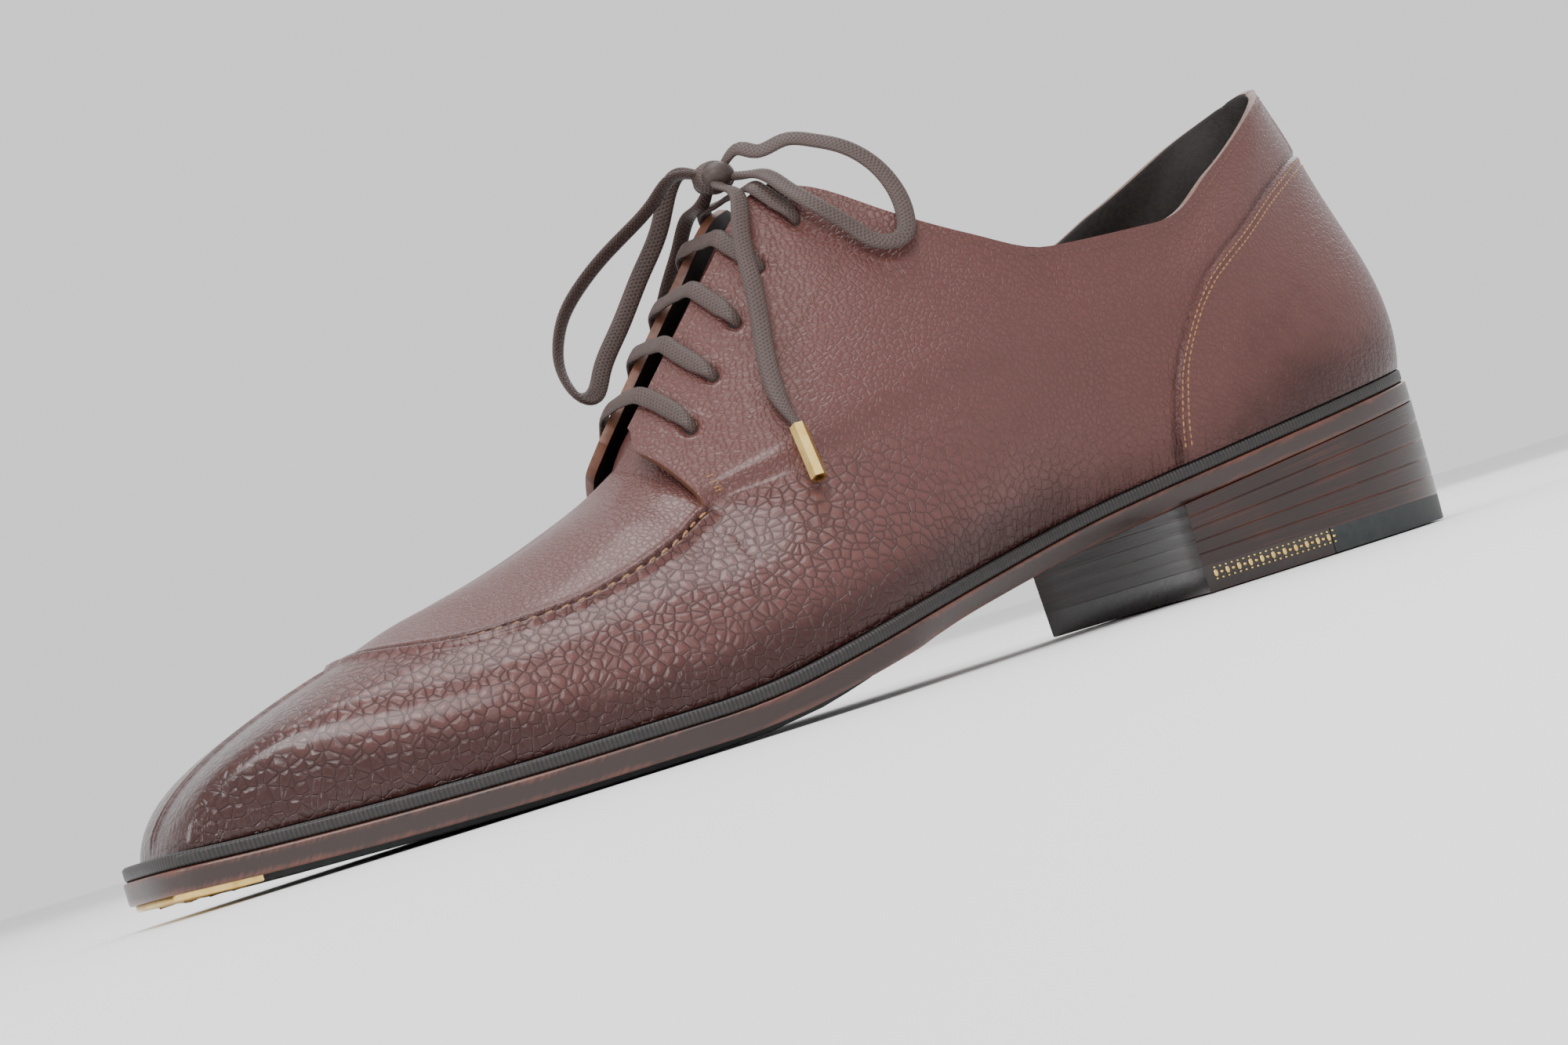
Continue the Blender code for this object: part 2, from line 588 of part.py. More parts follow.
def build_upper():
    """The lasted upper: one wall, open at the collar, the throat and underneath."""
    bm = bmesh.new()
    outer, inner = {}, {}
    last_rib, last_row = len(RIBS) - 1, len(ROWS) - 1
    throat = RIBS.index(THROAT_RIB)

    def key(side, i, j):
        shared = i in (0, last_rib) or (j == last_row and i <= throat)
        return (0 if shared else side, i, j)

    for side in SIDES:
        for i, rib in enumerate(RIBS):
            controls = rib_controls(rib, side)
            for j, row in enumerate(ROWS):
                name = key(side, i, j)
                if name in outer:
                    continue
                base = rib_point(rib, side, row, controls)
                normal = surface_normal(rib, side, row)
                if name[0] == 0:
                    other = surface_normal(rib, -side, row)
                    normal = (normal + other) / np.linalg.norm(normal + other)
                if j == 0:
                    normal[2] = 0.0
                    normal /= np.linalg.norm(normal)
                skin = bm.verts.new(place(base + normal * raised(rib, row)))
                lining = bm.verts.new(place(base - normal * UPPER_WALL))
                outer[name], inner[name] = skin, lining

    def patch(table, a, b, c, d):
        corners = []
        for corner in (table[a], table[b], table[c], table[d]):
            if corner not in corners:
                corners.append(corner)
        if len(corners) > 2:
            bm.faces.new(corners)

    for side in SIDES:
        for i in range(last_rib):
            for j in range(last_row):
                names = [key(side, *at) for at in ((i, j), (i + 1, j), (i + 1, j + 1), (i, j + 1))]
                patch(outer, *names)
                patch(inner, *reversed(names))
            low, low_next = key(side, i, 0), key(side, i + 1, 0)
            bm.faces.new((outer[low], inner[low], inner[low_next], outer[low_next]))
            if i >= throat:
                high, high_next = key(side, i, last_row), key(side, i + 1, last_row)
                bm.faces.new((outer[high], outer[high_next], inner[high_next], inner[high]))
    return finish_mesh("upper", bm, "grain_leather", sharp=40.0)


def sole_edge(share, along):
    """Inset of the outsole's edge at a share of its thickness: square in front, bevelled at the waist."""
    bevel = float(BEVEL_TRACK.at(along / SOLE_LENGTH)[0]) * WAIST_BEVEL
    return bevel * (1 - share) ** 1.6 + (EDGE_ROUNDING if share in (0.0, 1.0) else 0.0)


def build_outsole():
    bm = bmesh.new()
    rings = []
    for share in (0.0, 0.12, 0.45, 0.88, 1.0):
        rings.append(around(
            SOLE_RIBS, lambda rib, along, s=share: sole_edge(s, along),
            lambda rib, along, s=share: underside(along) + OUTSOLE_THICKNESS * s))
    made = skin_rows(bm, rings)
    cap_ladder(bm, made[0])
    cap_ladder(bm, made[-1])
    return finish_mesh("outsole", bm, "sole_leather")


def build_welt():
    """The welt and rand, one strip that runs round the whole shoe under the upper's edge."""
    def low(rib, along):
        return underside(along) + OUTSOLE_THICKNESS + GAP

    def high(rib, along):
        return low(rib, along) + WELT_THICKNESS

    def edge(rib, along):
        return EDGE_ROUNDING

    def inner(rib, along):
        return margin(rib) + UPPER_WALL

    bm = bmesh.new()
    made = skin_rows(bm, [around(SOLE_RIBS, inner, low), around(SOLE_RIBS, edge, low),
                          around(SOLE_RIBS, edge, high), around(SOLE_RIBS, inner, high)])
    for i, start in enumerate(made[0]):
        j = (i + 1) % len(made[0])
        bm.faces.new((made[3][i], made[3][j], made[0][j], start))
    return finish_mesh("welt", bm, "stacked_leather")


def build_insole():
    def inset(rib, along):
        return margin(rib) + UPPER_WALL + INSOLE_CLEARANCE

    bm = bmesh.new()
    made = skin_rows(bm, [
        around(INSOLE_RIBS, inset, lambda rib, along: underside(along) + OUTSOLE_THICKNESS + GAP),
        around(INSOLE_RIBS, inset, lambda rib, along: welt_top(along) + INSOLE_RISE)])
    cap_ladder(bm, made[0])
    cap_ladder(bm, made[1])
    return finish_mesh("insole", bm, "lining_leather")


def build_half_sole():
    """Rubber half sole from the toe plate to the waist, inset from the edge, its round back end aslant."""
    front = TOE_PLATE_LENGTH + GAP
    lateral_end, medial_end = (share * SOLE_LENGTH for share in HALF_SOLE_ENDS)
    count = 10
    lateral, medial = [], []
    for i in range(count):
        t = i / (count - 1)
        along = front + (lateral_end - front) * t
        lateral.append(np.array([along, edges_at(along, HALF_SOLE_MARGIN)[0]]))
        along = front + (medial_end - front) * t
        medial.append(np.array([along, edges_at(along, HALF_SOLE_MARGIN)[1]]))
    low, high = lateral[-1], medial[-1]
    bulge = HALF_SOLE_BULGE * WAIST_WIDTH
    handle_low, handle_high = (corner + bulge * np.array(share)
                               for corner, share in zip((low, high), HALF_SOLE_HANDLES))
    end = [low * (1 - t) ** 3 + handle_low * 3 * (1 - t) ** 2 * t + handle_high * 3 * (1 - t) * t ** 2
           + high * t ** 3 for t in np.linspace(0.0, 1.0, 41)[1:-1]]
    far = max(range(len(end)), key=lambda i: end[i][0])
    lateral += end[:far + 1]
    medial += end[far:][::-1]
    stations = list(np.linspace(front, lateral_end, count)) + [
        lateral_end + (end[far][0] - lateral_end) * share
        for share in (0.14, 0.28, 0.42, 0.56, 0.68, 0.79, 0.88, 0.95, 0.985)]
    sides = [np.interp(stations, [p[0] for p in line], [p[1] for p in line]) for line in (lateral, medial)]
    points = [np.array([x, y]) for x, y in zip(stations, sides[0])]
    points += [np.array([x, y]) for x, y in zip(reversed(stations), reversed(sides[1]))]
    bottom = [place((p[0], p[1], underside(p[0]) - HALF_SOLE_THICKNESS)) for p in points]
    top = [place((p[0], p[1], underside(p[0]) - GAP)) for p in points]
    bm = bmesh.new()
    made = skin_rows(bm, [bottom, top])
    for ring in made:
        for i in range(len(points) // 2 - 1):
            bm.faces.new((ring[i], ring[i + 1], ring[-(i + 2)], ring[-(i + 1)]))
    return finish_mesh("half_sole", bm, "rubber")


def edges_at(along, inset):
    """The two edges of the sole, inset, at a distance from the toe."""
    found = []
    for side in SIDES:
        low, high = RIBS[0], RIBS[-1]
        for _ in range(40):
            rib = (low + high) / 2
            if outline(rib, side, inset)[0][0] < along:
                low = rib
            else:
                high = rib
        found.append(outline(rib, side, inset)[0][1])
    return found


def build_toe_plate():
    """Brass plate let in under the toe, straight at its back."""
    bm = bmesh.new()
    edges = edges_at(TOE_PLATE_LENGTH, TOE_PLATE_INSET)
    lines = []
    for side, edge in zip(SIDES, edges):
        line = [outline(rib, side, TOE_PLATE_INSET)[0] for rib in np.linspace(0.0, 0.5, 26)]
        lines.append([point for point in line if point[0] < TOE_PLATE_LENGTH - GAP]
                     + [np.array([TOE_PLATE_LENGTH, edge])])
    points = lines[0] + lines[1][:0:-1]
    bottom = [place((p[0], p[1], underside(p[0]) - HALF_SOLE_THICKNESS)) for p in points]
    top = [place((p[0], p[1], underside(p[0]) - GAP)) for p in points]
    made = skin_rows(bm, [bottom, top])
    cap_ladder(bm, made[0])
    cap_ladder(bm, made[1])
    return finish_mesh("toe_plate", bm, "brass")


def heel_ring(share, height, front=None):
    """Outline of the heel at a share of its height: hollow breast, round back, with a slight taper."""
    breast = SOLE_LENGTH - HEEL_LENGTH
    inset = HEEL_TAPER * (1 - share)
    across = 9
    lateral, medial = edges_at(breast, inset)
    points = []
    for i in range(across):
        t = i / (across - 1)
        hollow = BREAST_HOLLOW * math.sin(math.pi * t) ** 0.8
        points.append(np.array([breast + hollow, medial + (lateral - medial) * t]))
    ribs = [rib for rib in HEEL_RIBS if outline(rib, -1, inset)[0][0] > breast + HEEL_CORNER]
    points += [outline(rib, -1, inset)[0] for rib in ribs]
    points += [outline(rib, 1, inset)[0] for rib in reversed(ribs[:-1])]
    if front is not None:
        points = split_outline(points, front)
    return [place((p[0], p[1], height(p[0]))) for p in points], points


def joint_line(across):
    """Distance from the toe of the joint between the two halves of the top piece."""
    lateral_end = SOLE_LENGTH - HEEL_LENGTH + TOP_PIECE_JOINT
    return lateral_end + TOP_PIECE_JOINT_SLANT * (across / SEAT_WIDTH + 0.5)


def split_outline(points, front):
    """The part of a closed outline before or behind the joint line."""
    shift = GAP / 2 if front else -GAP / 2
    kept = []
    count = len(points)
    for i, here in enumerate(points):
        there = points[(i + 1) % count]
        far_here = joint_line(here[1]) - shift - here[0]
        far_there = joint_line(there[1]) - shift - there[0]
        inside = far_here > 0 if front else far_here < 0
        if inside:
            kept.append(here)
        if far_here * far_there < 0:
            kept.append(here + (there - here) * far_here / (far_here - far_there))
    return kept


def prism(name, low_ring, high_ring, finish):
    bm = bmesh.new()
    made = skin_rows(bm, [low_ring, high_ring])
    for ring in made:
        bm.faces.new(ring)
    return finish_mesh(name, bm, finish)


def build_heel():
    """Top piece in two halves, then the lifts, each a slight wedge up to the seat of the sole."""
    seat = SOLE_LENGTH - HEEL_LENGTH
    low_share = TOP_PIECE_THICKNESS / underside(seat)
    for name, front, finish in (("top_piece_leather", True, "sole_leather"),
                                ("top_piece_rubber", False, "rubber")):
        low = heel_ring(0.0, lambda along: 0.0, front)[0]
        high = heel_ring(low_share, lambda along: TOP_PIECE_THICKNESS, front)[0]
        prism(name, low, high, finish)

    def level(along, number):
        foot = TOP_PIECE_THICKNESS + GAP
        return foot + (underside(along) - foot) * number / HEEL_LIFTS

    for number in range(HEEL_LIFTS):
        shares = [low_share + (1 - low_share) * step / HEEL_LIFTS for step in (number, number + 1)]
        low = heel_ring(shares[0], lambda along, n=number: level(along, n))[0]
        high = heel_ring(shares[1], lambda along, n=number + 1: level(along, n) - GAP)[0]
        prism(f"heel_lift_{number + 1}", low, high, "stacked_leather")


def tongue_point(rib, side, row, depth):
    """A point under the facing, so far below the lasted surface."""
    return rib_point(rib, side, row) - surface_normal(rib, side, row) * depth


def build_tongue():
    """Tongue under the facings, from the end of the vamp to above the top eyelets."""
    clear = UPPER_WALL + 2 * GAP
    bm = bmesh.new()
    top, bottom = [], []
    for rib in TONGUE_RIBS:
        for table, depth in ((top, clear), (bottom, clear + TONGUE_WALL)):
            lateral = [tongue_point(rib, -1, row, depth) for row in TONGUE_ROWS]
            medial = [tongue_point(rib, 1, row, depth) for row in TONGUE_ROWS]
            crown = (lateral[-1] + medial[-1]) / 2
            crown[2] += TONGUE_CROWN
            table.append([place(p) for p in lateral + [crown] + medial[::-1]])
    upper_skin = skin_rows(bm, top, closed=False)
    lower_skin = skin_rows(bm, bottom, closed=False)
    for a, b in zip(range(len(TONGUE_RIBS) - 1), range(1, len(TONGUE_RIBS))):
        for end in (0, -1):
            bm.faces.new((upper_skin[a][end], upper_skin[b][end], lower_skin[b][end], lower_skin[a][end]))
    for end in (0, -1):
        for a in range(len(upper_skin[0]) - 1):
            bm.faces.new((upper_skin[end][a], upper_skin[end][a + 1], lower_skin[end][a + 1],
                          lower_skin[end][a]))
    return finish_mesh("tongue", bm, "lining_leather")


def facing_place(rib, side, inset, lift):
    """A point over the facing, so far down the rib from the facing's edge and so far off its face."""
    low, high = SEAM_ROW, TOP_ROW
    edge = rib_point(rib, side, high)
    for _ in range(30):
        row = (low + high) / 2
        if np.linalg.norm(rib_point(rib, side, row) - edge) > inset:
            low = row
        else:
            high = row
    return rib_point(rib, side, row) + surface_normal(rib, side, row) * (raised(rib, row) + lift)


def bar_line(rib, inset):
    """Middle line of a lace bar, from the lateral eyelet over the throat to the medial one."""
    lift = LACE_GAP + LACE_THICKNESS / 2
    stops = (1.0, 0.8, 0.6, 0.4, 0.2, 0.0)
    lateral, medial = ([facing_place(rib, side, share * inset, lift) for share in stops] for side in SIDES)
    start, end = lateral[-1], medial[-1]
    crown = [start * (1 - t) + end * t + np.array([0.0, 0.0, CROWN_RISE * 4 * t * (1 - t)])
             for t in (0.25, 0.5, 0.75)]
    return lateral + crown + medial[::-1]


def bar_frames(rib, inset):
    """Points of a bar's middle line, with the directions of its width and of its thickness."""
    line = bar_line(rib, inset)
    edges = (FACING_TRACK.at(rib + 0.05) - FACING_TRACK.at(rib - 0.05))[[0, 3]]
    up_throat = np.array([edges[0], 0.0, edges[1]]) / np.linalg.norm(edges)
    frames = []
    for i, point in enumerate(line):
        way = line[min(i + 1, len(line) - 1)] - line[max(i - 1, 0)]
        thick = np.cross(up_throat, way)
        thick /= np.linalg.norm(thick)
        wide = np.cross(way, thick)
        frames.append((point, wide / np.linalg.norm(wide), thick * math.copysign(1.0, thick[2])))
    return frames


def build_bar(number):
    """One lace bar, a flat ribbon that lies over both facings and the throat."""
    rib, share = EYELETS[number]
    bm = bmesh.new()
    rings = []
    for point, wide, thick in bar_frames(rib, share * EYELET_INSET):
        rings.append([place(point + wide * a * LACE_WIDTH / 2 + thick * b * LACE_THICKNESS / 2)
                      for a, b in LACE_SECTION])
    made = skin_rows(bm, rings)
    for ring in (made[0], made[-1]):
        bm.faces.new(ring)
    return finish_mesh(f"lace_bar_{number + 1}", bm, "waxed_lace")


def knot_reach(direction):
    """Distance from the middle of the knot to its skin in a direction."""
    half = np.array([KNOT_WIDTH, KNOT_LENGTH, KNOT_HEIGHT]) / 2
    return 1 / np.linalg.norm(np.asarray(direction) / half)


def knot_middle():
    """The knot rests on the crown of the last bar."""
    rib, share = EYELETS[-1]
    frames = bar_frames(rib, share * EYELET_INSET)
    crown, _, thick = frames[len(frames) // 2]
    half = np.array([KNOT_WIDTH, KNOT_LENGTH, KNOT_HEIGHT]) / 2
    return crown + thick * (LACE_THICKNESS / 2 + GAP + np.linalg.norm(half * thick))


def build_knot(middle):
    bm = bmesh.new()
    bmesh.ops.create_uvsphere(bm, u_segments=14, v_segments=9, radius=0.5)
    bmesh.ops.scale(bm, verts=bm.verts, vec=(KNOT_WIDTH, KNOT_LENGTH, KNOT_HEIGHT))
    bmesh.ops.translate(bm, verts=bm.verts, vec=place(middle))
    return finish_mesh("lace_knot", bm, "waxed_lace", sharp=80.0)


def smooth_route(points, spacing):
    """Even points along a smooth curve through a route's own points."""
    points = np.asarray(points)
    count = len(points)
    places = np.concatenate(([0.0], np.cumsum(np.linalg.norm(np.diff(points, axis=0), axis=1))))
    steps = np.diff(places)
    matrix, right = np.zeros((count, count)), np.zeros_like(points)
    matrix[0, :2] = matrix[-1, -2:] = (2.0, 1.0)
    matrix[-1, -2:] = (1.0, 2.0)
    right[0] = 3 * (points[1] - points[0]) / steps[0]
    right[-1] = 3 * (points[-1] - points[-2]) / steps[-1]
    for i in range(1, count - 1):
        before, after = steps[i - 1], steps[i]
        matrix[i, i - 1:i + 2] = (after, 2 * (before + after), before)
        right[i] = 3 * (after * (points[i] - points[i - 1]) / before
                        + before * (points[i + 1] - points[i]) / after)
    curve = Track(places, points)
    curve.tangents = np.linalg.solve(matrix, right)
    stops = max(int(round(places[-1] / spacing)), 2)
    return [curve.at(places[-1] * i / stops) for i in range(stops + 1)]


def strand_route(name, middle):
    """Route of a strand of the bow: it leaves the knot square to its skin, and a loop comes back to it."""
    leaves = LEAVES[name]
    ends = []
    for direction in leaves:
        direction = np.asarray(direction) / np.linalg.norm(direction)
        reach = knot_reach(direction) + GAP + LACE_DIAMETER * LEAVE_CLEARANCE
        ends.append([direction * reach, direction * (reach + LACE_DIAMETER)])
    points = ends[0] + [np.asarray(point) for point in ROUTES[name]]
    for far in ends[1:]:
        points += far[::-1]
    return smooth_route([middle + point for point in points], 2.2 * LACE_DIAMETER)


def build_strand(name, middle):
    """A strand of the bow as a round cord, the plain stand-in for the flat lace."""
    route = strand_route(name, middle)
    curve = bpy.data.curves.new("lace_" + name, "CURVE")
    curve.dimensions = "3D"
    spline = curve.splines.new("POLY")
    spline.points.add(len(route) - 1)
    for point, at in zip(spline.points, route):
        point.co = (*place(at), 1.0)
    curve.bevel_depth = LACE_DIAMETER / 2
    curve.bevel_resolution = 2
    curve.use_fill_caps = True
    link(bpy.data.objects.new("lace_" + name, curve), "waxed_lace")
    return route


def build_aglet(name, end):
    """Metal tip on a lace end: a six-sided tube, blind where the lace comes in and hollow at its tip."""
    way = Vector(TIPS[name]).normalized()
    turn = way.to_track_quat("Z", "Y")
    start = Vector(end) + way * GAP
    bm = bmesh.new()
    rings = []
    for along, diameter in ((0.0, AGLET_DIAMETER), (AGLET_LENGTH, AGLET_DIAMETER), (AGLET_LENGTH, AGLET_BORE),
                            (AGLET_LENGTH - AGLET_DEPTH, AGLET_BORE)):
        rings.append([place(start + turn @ Vector((math.cos(angle) * diameter / 2,
                                                   math.sin(angle) * diameter / 2, along)))
                      for angle in np.linspace(0.0, 2 * math.pi, 7)[:-1]])
    made = skin_rows(bm, rings)
    bm.faces.new(made[0])
    bm.faces.new(made[-1])
    return finish_mesh(name.replace("end", "aglet"), bm, "brass")


def build_laces():
    """Lace bars, the knot on the last of them, and the bow's loops and ends."""
    for number in range(len(EYELETS)):
        build_bar(number)
    middle = knot_middle()
    build_knot(middle)
    for name in ROUTES:
        route = build_strand(name, middle)
        if name in TIPS:
            build_aglet(name, route[-1])


def main():
    for obj in list(bpy.data.objects):
        bpy.data.objects.remove(obj, do_unlink=True)
    build_upper()
    build_outsole()
    build_welt()
    build_insole()
    build_half_sole()
    build_toe_plate()
    build_heel()
    build_tongue()
    build_laces()


main()
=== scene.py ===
"""Dressed scene of the left split toe derby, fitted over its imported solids.

Metres, +Z up, toe towards -X, outer (lateral) side towards -Y. The lasted surface is worked out from the
same ribs as the solids, so that each dressed piece lies where its solid is.
"""

import logging
import math
from collections.abc import Callable, Sequence
from dataclasses import dataclass, field
from enum import Enum

import bmesh
import bpy
import numpy as np
from mathutils import Matrix, Vector
from mathutils.bvhtree import BVHTree

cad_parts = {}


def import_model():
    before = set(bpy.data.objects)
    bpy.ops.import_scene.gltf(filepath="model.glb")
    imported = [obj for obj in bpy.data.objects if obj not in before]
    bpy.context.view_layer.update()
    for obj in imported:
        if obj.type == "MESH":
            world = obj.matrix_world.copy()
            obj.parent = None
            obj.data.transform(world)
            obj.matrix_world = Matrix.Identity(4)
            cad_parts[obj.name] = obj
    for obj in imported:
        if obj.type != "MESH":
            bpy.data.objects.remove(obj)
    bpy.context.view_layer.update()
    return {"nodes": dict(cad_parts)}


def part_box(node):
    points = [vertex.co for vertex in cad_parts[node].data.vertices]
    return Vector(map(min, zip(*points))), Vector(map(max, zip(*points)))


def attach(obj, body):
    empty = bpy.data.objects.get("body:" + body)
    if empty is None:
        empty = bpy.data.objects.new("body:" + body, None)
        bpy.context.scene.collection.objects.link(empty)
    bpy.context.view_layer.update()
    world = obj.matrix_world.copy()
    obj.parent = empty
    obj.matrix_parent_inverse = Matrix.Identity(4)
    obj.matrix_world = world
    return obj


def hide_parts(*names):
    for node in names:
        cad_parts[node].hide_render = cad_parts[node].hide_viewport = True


LOG = logging.getLogger("derby")
Node = bpy.types.Node
Piece = bpy.types.Object


class Side(Enum):
    """Outer and inner side of the foot."""

    LATERAL = -1
    MEDIAL = 1


class Slot(Enum):
    """Names of the finishes."""

    GRAIN = "grain_leather"
    TONGUE = "tongue_leather"
    LINING = "lining_leather"
    WELT = "welt_leather"
    SOLE = "sole_leather"
    STACK = "stacked_leather"
    RUBBER = "rubber"
    BRASS = "brass"
    LACE = "waxed_lace"


@dataclass(frozen=True)
class Sizes:
    """Driving sizes of the shoe, as the solids have them."""

    length: float = 0.304
    toe: float = 0.052
    ball: float = 0.104
    waist: float = 0.064
    seat: float = 0.071
    toe_spring: float = 0.0034
    waist_lift: float = 0.0178
    seat_rise: float = 0.0085
    vamp: float = 0.040
    instep: float = 0.107
    collar: float = 0.078
    back: float = 0.105
    wall: float = 0.0022
    counter_step: float = 0.0008
    facing_step: float = 0.0018
    tongue_wall: float = 0.0020
    welt: float = 0.0026
    outsole: float = 0.0046
    half_sole: float = 0.0012
    welt_margin: float = 0.0042
    waist_bevel: float = 0.0042
    heel_length: float = 0.079
    top_piece: float = 0.0052
    joint: float = 0.032
    joint_slant: float = 0.022
    gap: float = 0.0003
    middle_x: float = 0.15286
    middle_y: float = -0.002986


SIZES = Sizes()
HALVINGS_OF_ROW = 26
HALVINGS_OF_RIB = 36
MERGE = 1e-6
SKIN = 0.0002

OUTLINE = [
    (0.00, 0.0000, "toe", -0.048, 0.048),
    (0.10, 0.0018, "toe", 0.135, 0.230),
    (0.22, 0.0140, "toe", 0.310, 0.405),
    (0.32, 0.0460, "toe", 0.400, 0.500),
    (0.45, 0.1055, "ball", 0.270, 0.312),
    (0.60, 0.1842, "ball", 0.372, 0.382),
    (0.75, 0.2632, "ball", 0.450, 0.438),
    (0.90, 0.3421, "ball", 0.512, 0.472),
    (1.00, 0.3980, "ball", 0.531, 0.469),
    (1.30, 0.4605, "ball", 0.516, 0.432),
    (1.65, 0.5263, "waist", 0.735, 0.585),
    (2.00, 0.5921, "waist", 0.612, 0.482),
    (2.25, 0.6711, "waist", 0.525, 0.475),
    (2.45, 0.7515, "seat", 0.486, 0.472),
    (2.62, 0.8290, "seat", 0.507, 0.493),
    (2.78, 0.9160, "seat", 0.478, 0.466),
    (2.90, 0.9740, "seat", 0.345, 0.340),
    (3.00, 1.0000, "seat", 0.000, 0.000),
]
UNDERSIDE = [
    (0.000, 1.00, 0.000), (0.068, 0.65, 0.000), (0.149, 0.34, 0.000), (0.257, 0.08, 0.000),
    (0.338, 0.00, 0.000), (0.446, 0.00, 0.000), (0.507, 0.00, 0.045), (0.581, 0.00, 0.190),
    (0.676, 0.00, 0.400), (0.797, 0.00, 0.640), (0.919, 0.00, 0.875), (1.000, 0.00, 1.000),
]
SEAM = [
    (0.00, 0.1710, "toe", -0.044, 0.044, "vamp", 0.950),
    (0.10, 0.1743, "toe", 0.115, 0.200, "vamp", 0.945),
    (0.22, 0.1875, "toe", 0.290, 0.360, "vamp", 0.915),
    (0.32, 0.2072, "ball", 0.210, 0.240, "vamp", 0.880),
    (0.45, 0.2401, "ball", 0.262, 0.276, "vamp", 0.860),
    (0.60, 0.2829, "ball", 0.300, 0.298, "vamp", 0.868),
    (0.75, 0.3257, "ball", 0.315, 0.305, "vamp", 0.925),
    (0.90, 0.3717, "ball", 0.300, 0.290, "vamp", 1.030),
    (1.00, 0.4013, "ball", 0.276, 0.264, "vamp", 1.125),
    (1.30, 0.4507, "ball", 0.330, 0.305, "vamp", 1.180),
    (1.65, 0.5197, "waist", 0.590, 0.515, "collar", 0.640),
    (2.00, 0.5987, "waist", 0.590, 0.505, "collar", 0.680),
    (2.25, 0.6875, "waist", 0.548, 0.490, "collar", 0.725),
    (2.45, 0.7796, "seat", 0.480, 0.465, "collar", 0.765),
    (2.62, 0.8487, "seat", 0.436, 0.424, "back", 0.665),
    (2.78, 0.9178, "seat", 0.318, 0.313, "back", 0.768),
    (2.90, 0.9660, "seat", 0.186, 0.184, "back", 0.822),
    (3.00, 0.9912, "seat", 0.000, 0.000, "back", 0.835),
]
CREST = [
    (0.00, 0.2170, "toe", 0.036, 1.055),
    (0.22, 0.2240, "toe", 0.034, 1.066),
    (0.45, 0.2500, "toe", 0.030, 1.105),
    (0.60, 0.2830, "toe", 0.024, 1.165),
    (0.75, 0.3220, "toe", 0.016, 1.258),
    (0.90, 0.3620, "toe", 0.008, 1.385),
    (1.00, 0.3882, "toe", 0.000, 1.490),
]
FACING = [
    (1.00, 0.3895, "toe", 0.130, 0.130, 0.580, 0.582),
    (1.30, 0.4330, "toe", 0.138, 0.138, 0.708, 0.712),
    (1.65, 0.4890, "toe", 0.150, 0.150, 0.868, 0.874),
    (1.90, 0.5320, "toe", 0.165, 0.165, 0.985, 0.992),
    (2.00, 0.5475, "toe", 0.205, 0.205, 1.000, 1.008),
]
COLLAR = [
    (2.00, 0.5475, "seat", 0.150, 0.150, "instep", 1.000, 1.008),
    (2.06, 0.5720, "seat", 0.240, 0.232, "instep", 0.962, 0.976),
    (2.14, 0.6080, "seat", 0.372, 0.345, "instep", 0.868, 0.897),
    (2.22, 0.6480, "seat", 0.438, 0.402, "collar", 1.090, 1.140),
    (2.32, 0.7030, "seat", 0.452, 0.420, "collar", 1.006, 1.068),
    (2.45, 0.7930, "seat", 0.428, 0.405, "collar", 1.000, 1.058),
    (2.62, 0.8660, "seat", 0.352, 0.338, "back", 0.828, 0.856),
    (2.78, 0.9340, "seat", 0.246, 0.240, "back", 0.938, 0.948),
    (2.90, 0.9640, "seat", 0.124, 0.122, "back", 0.982, 0.985),
    (3.00, 0.9730, "seat", 0.000, 0.000, "back", 1.000, 1.000),
]
SHAPE = [
    (0.00, -0.30, 0.26, 15.0, 0.36, 0.34, 0.34, 8.0),
    (0.22, -0.16, 0.31, 18.0, 0.34, 0.34, 0.34, 5.0),
    (0.32, -0.06, 0.36, 23.0, 0.34, 0.34, 0.34, 3.0),
    (0.45, 0.02, 0.40, 33.0, 0.34, 0.34, 0.36, 2.0),
    (0.75, 0.06, 0.42, 43.0, 0.34, 0.36, 0.38, 0.0),
    (1.00, 0.10, 0.40, 49.0, 0.34, 0.36, 0.36, 14.0),
    (1.30, 0.14, 0.38, 58.0, 0.34, 0.36, 0.34, 38.0),
    (1.65, 0.24, 0.36, 66.0, 0.34, 0.34, 0.34, 42.0),
    (2.00, 0.30, 0.36, 73.0, 0.34, 0.34, 0.34, 50.0),
    (2.20, 0.28, 0.36, 80.0, 0.34, 0.34, 0.34, 68.0),
    (2.45, 0.18, 0.34, 84.0, 0.34, 0.34, 0.34, 80.0),
    (2.78, 0.26, 0.36, 78.0, 0.36, 0.34, 0.34, 74.0),
    (2.92, 0.28, 0.37, 78.0, 0.36, 0.34, 0.34, 74.0),
    (3.00, 0.20, 0.37, 78.0, 0.36, 0.34, 0.34, 74.0),
]
MARGIN = [(0.00, 1.00), (0.60, 1.00), (1.20, 0.90), (1.65, 0.55), (2.10, 0.50), (2.45, 0.38), (3.00, 0.34)]
BEVEL = [(0.000, 0.0), (0.470, 0.0), (0.505, 0.55), (0.560, 1.0), (0.690, 1.0), (0.745, 0.25), (1.0, 0.0)]
EYELETS = [(1.180, 1.00), (1.380, 0.91), (1.560, 0.82), (1.745, 0.74), (1.935, 0.74)]
LEAVES = {
    "loop_lateral": ((0.62, -0.62, 0.48), (0.40, -0.88, -0.25)),
    "loop_medial": ((-0.85, 0.30, 0.30), (-0.45, 0.80, 0.40)),
    "end_lateral": ((-0.30, -0.85, -0.40),),
    "end_medial": ((-0.15, 0.85, -0.50),),
}
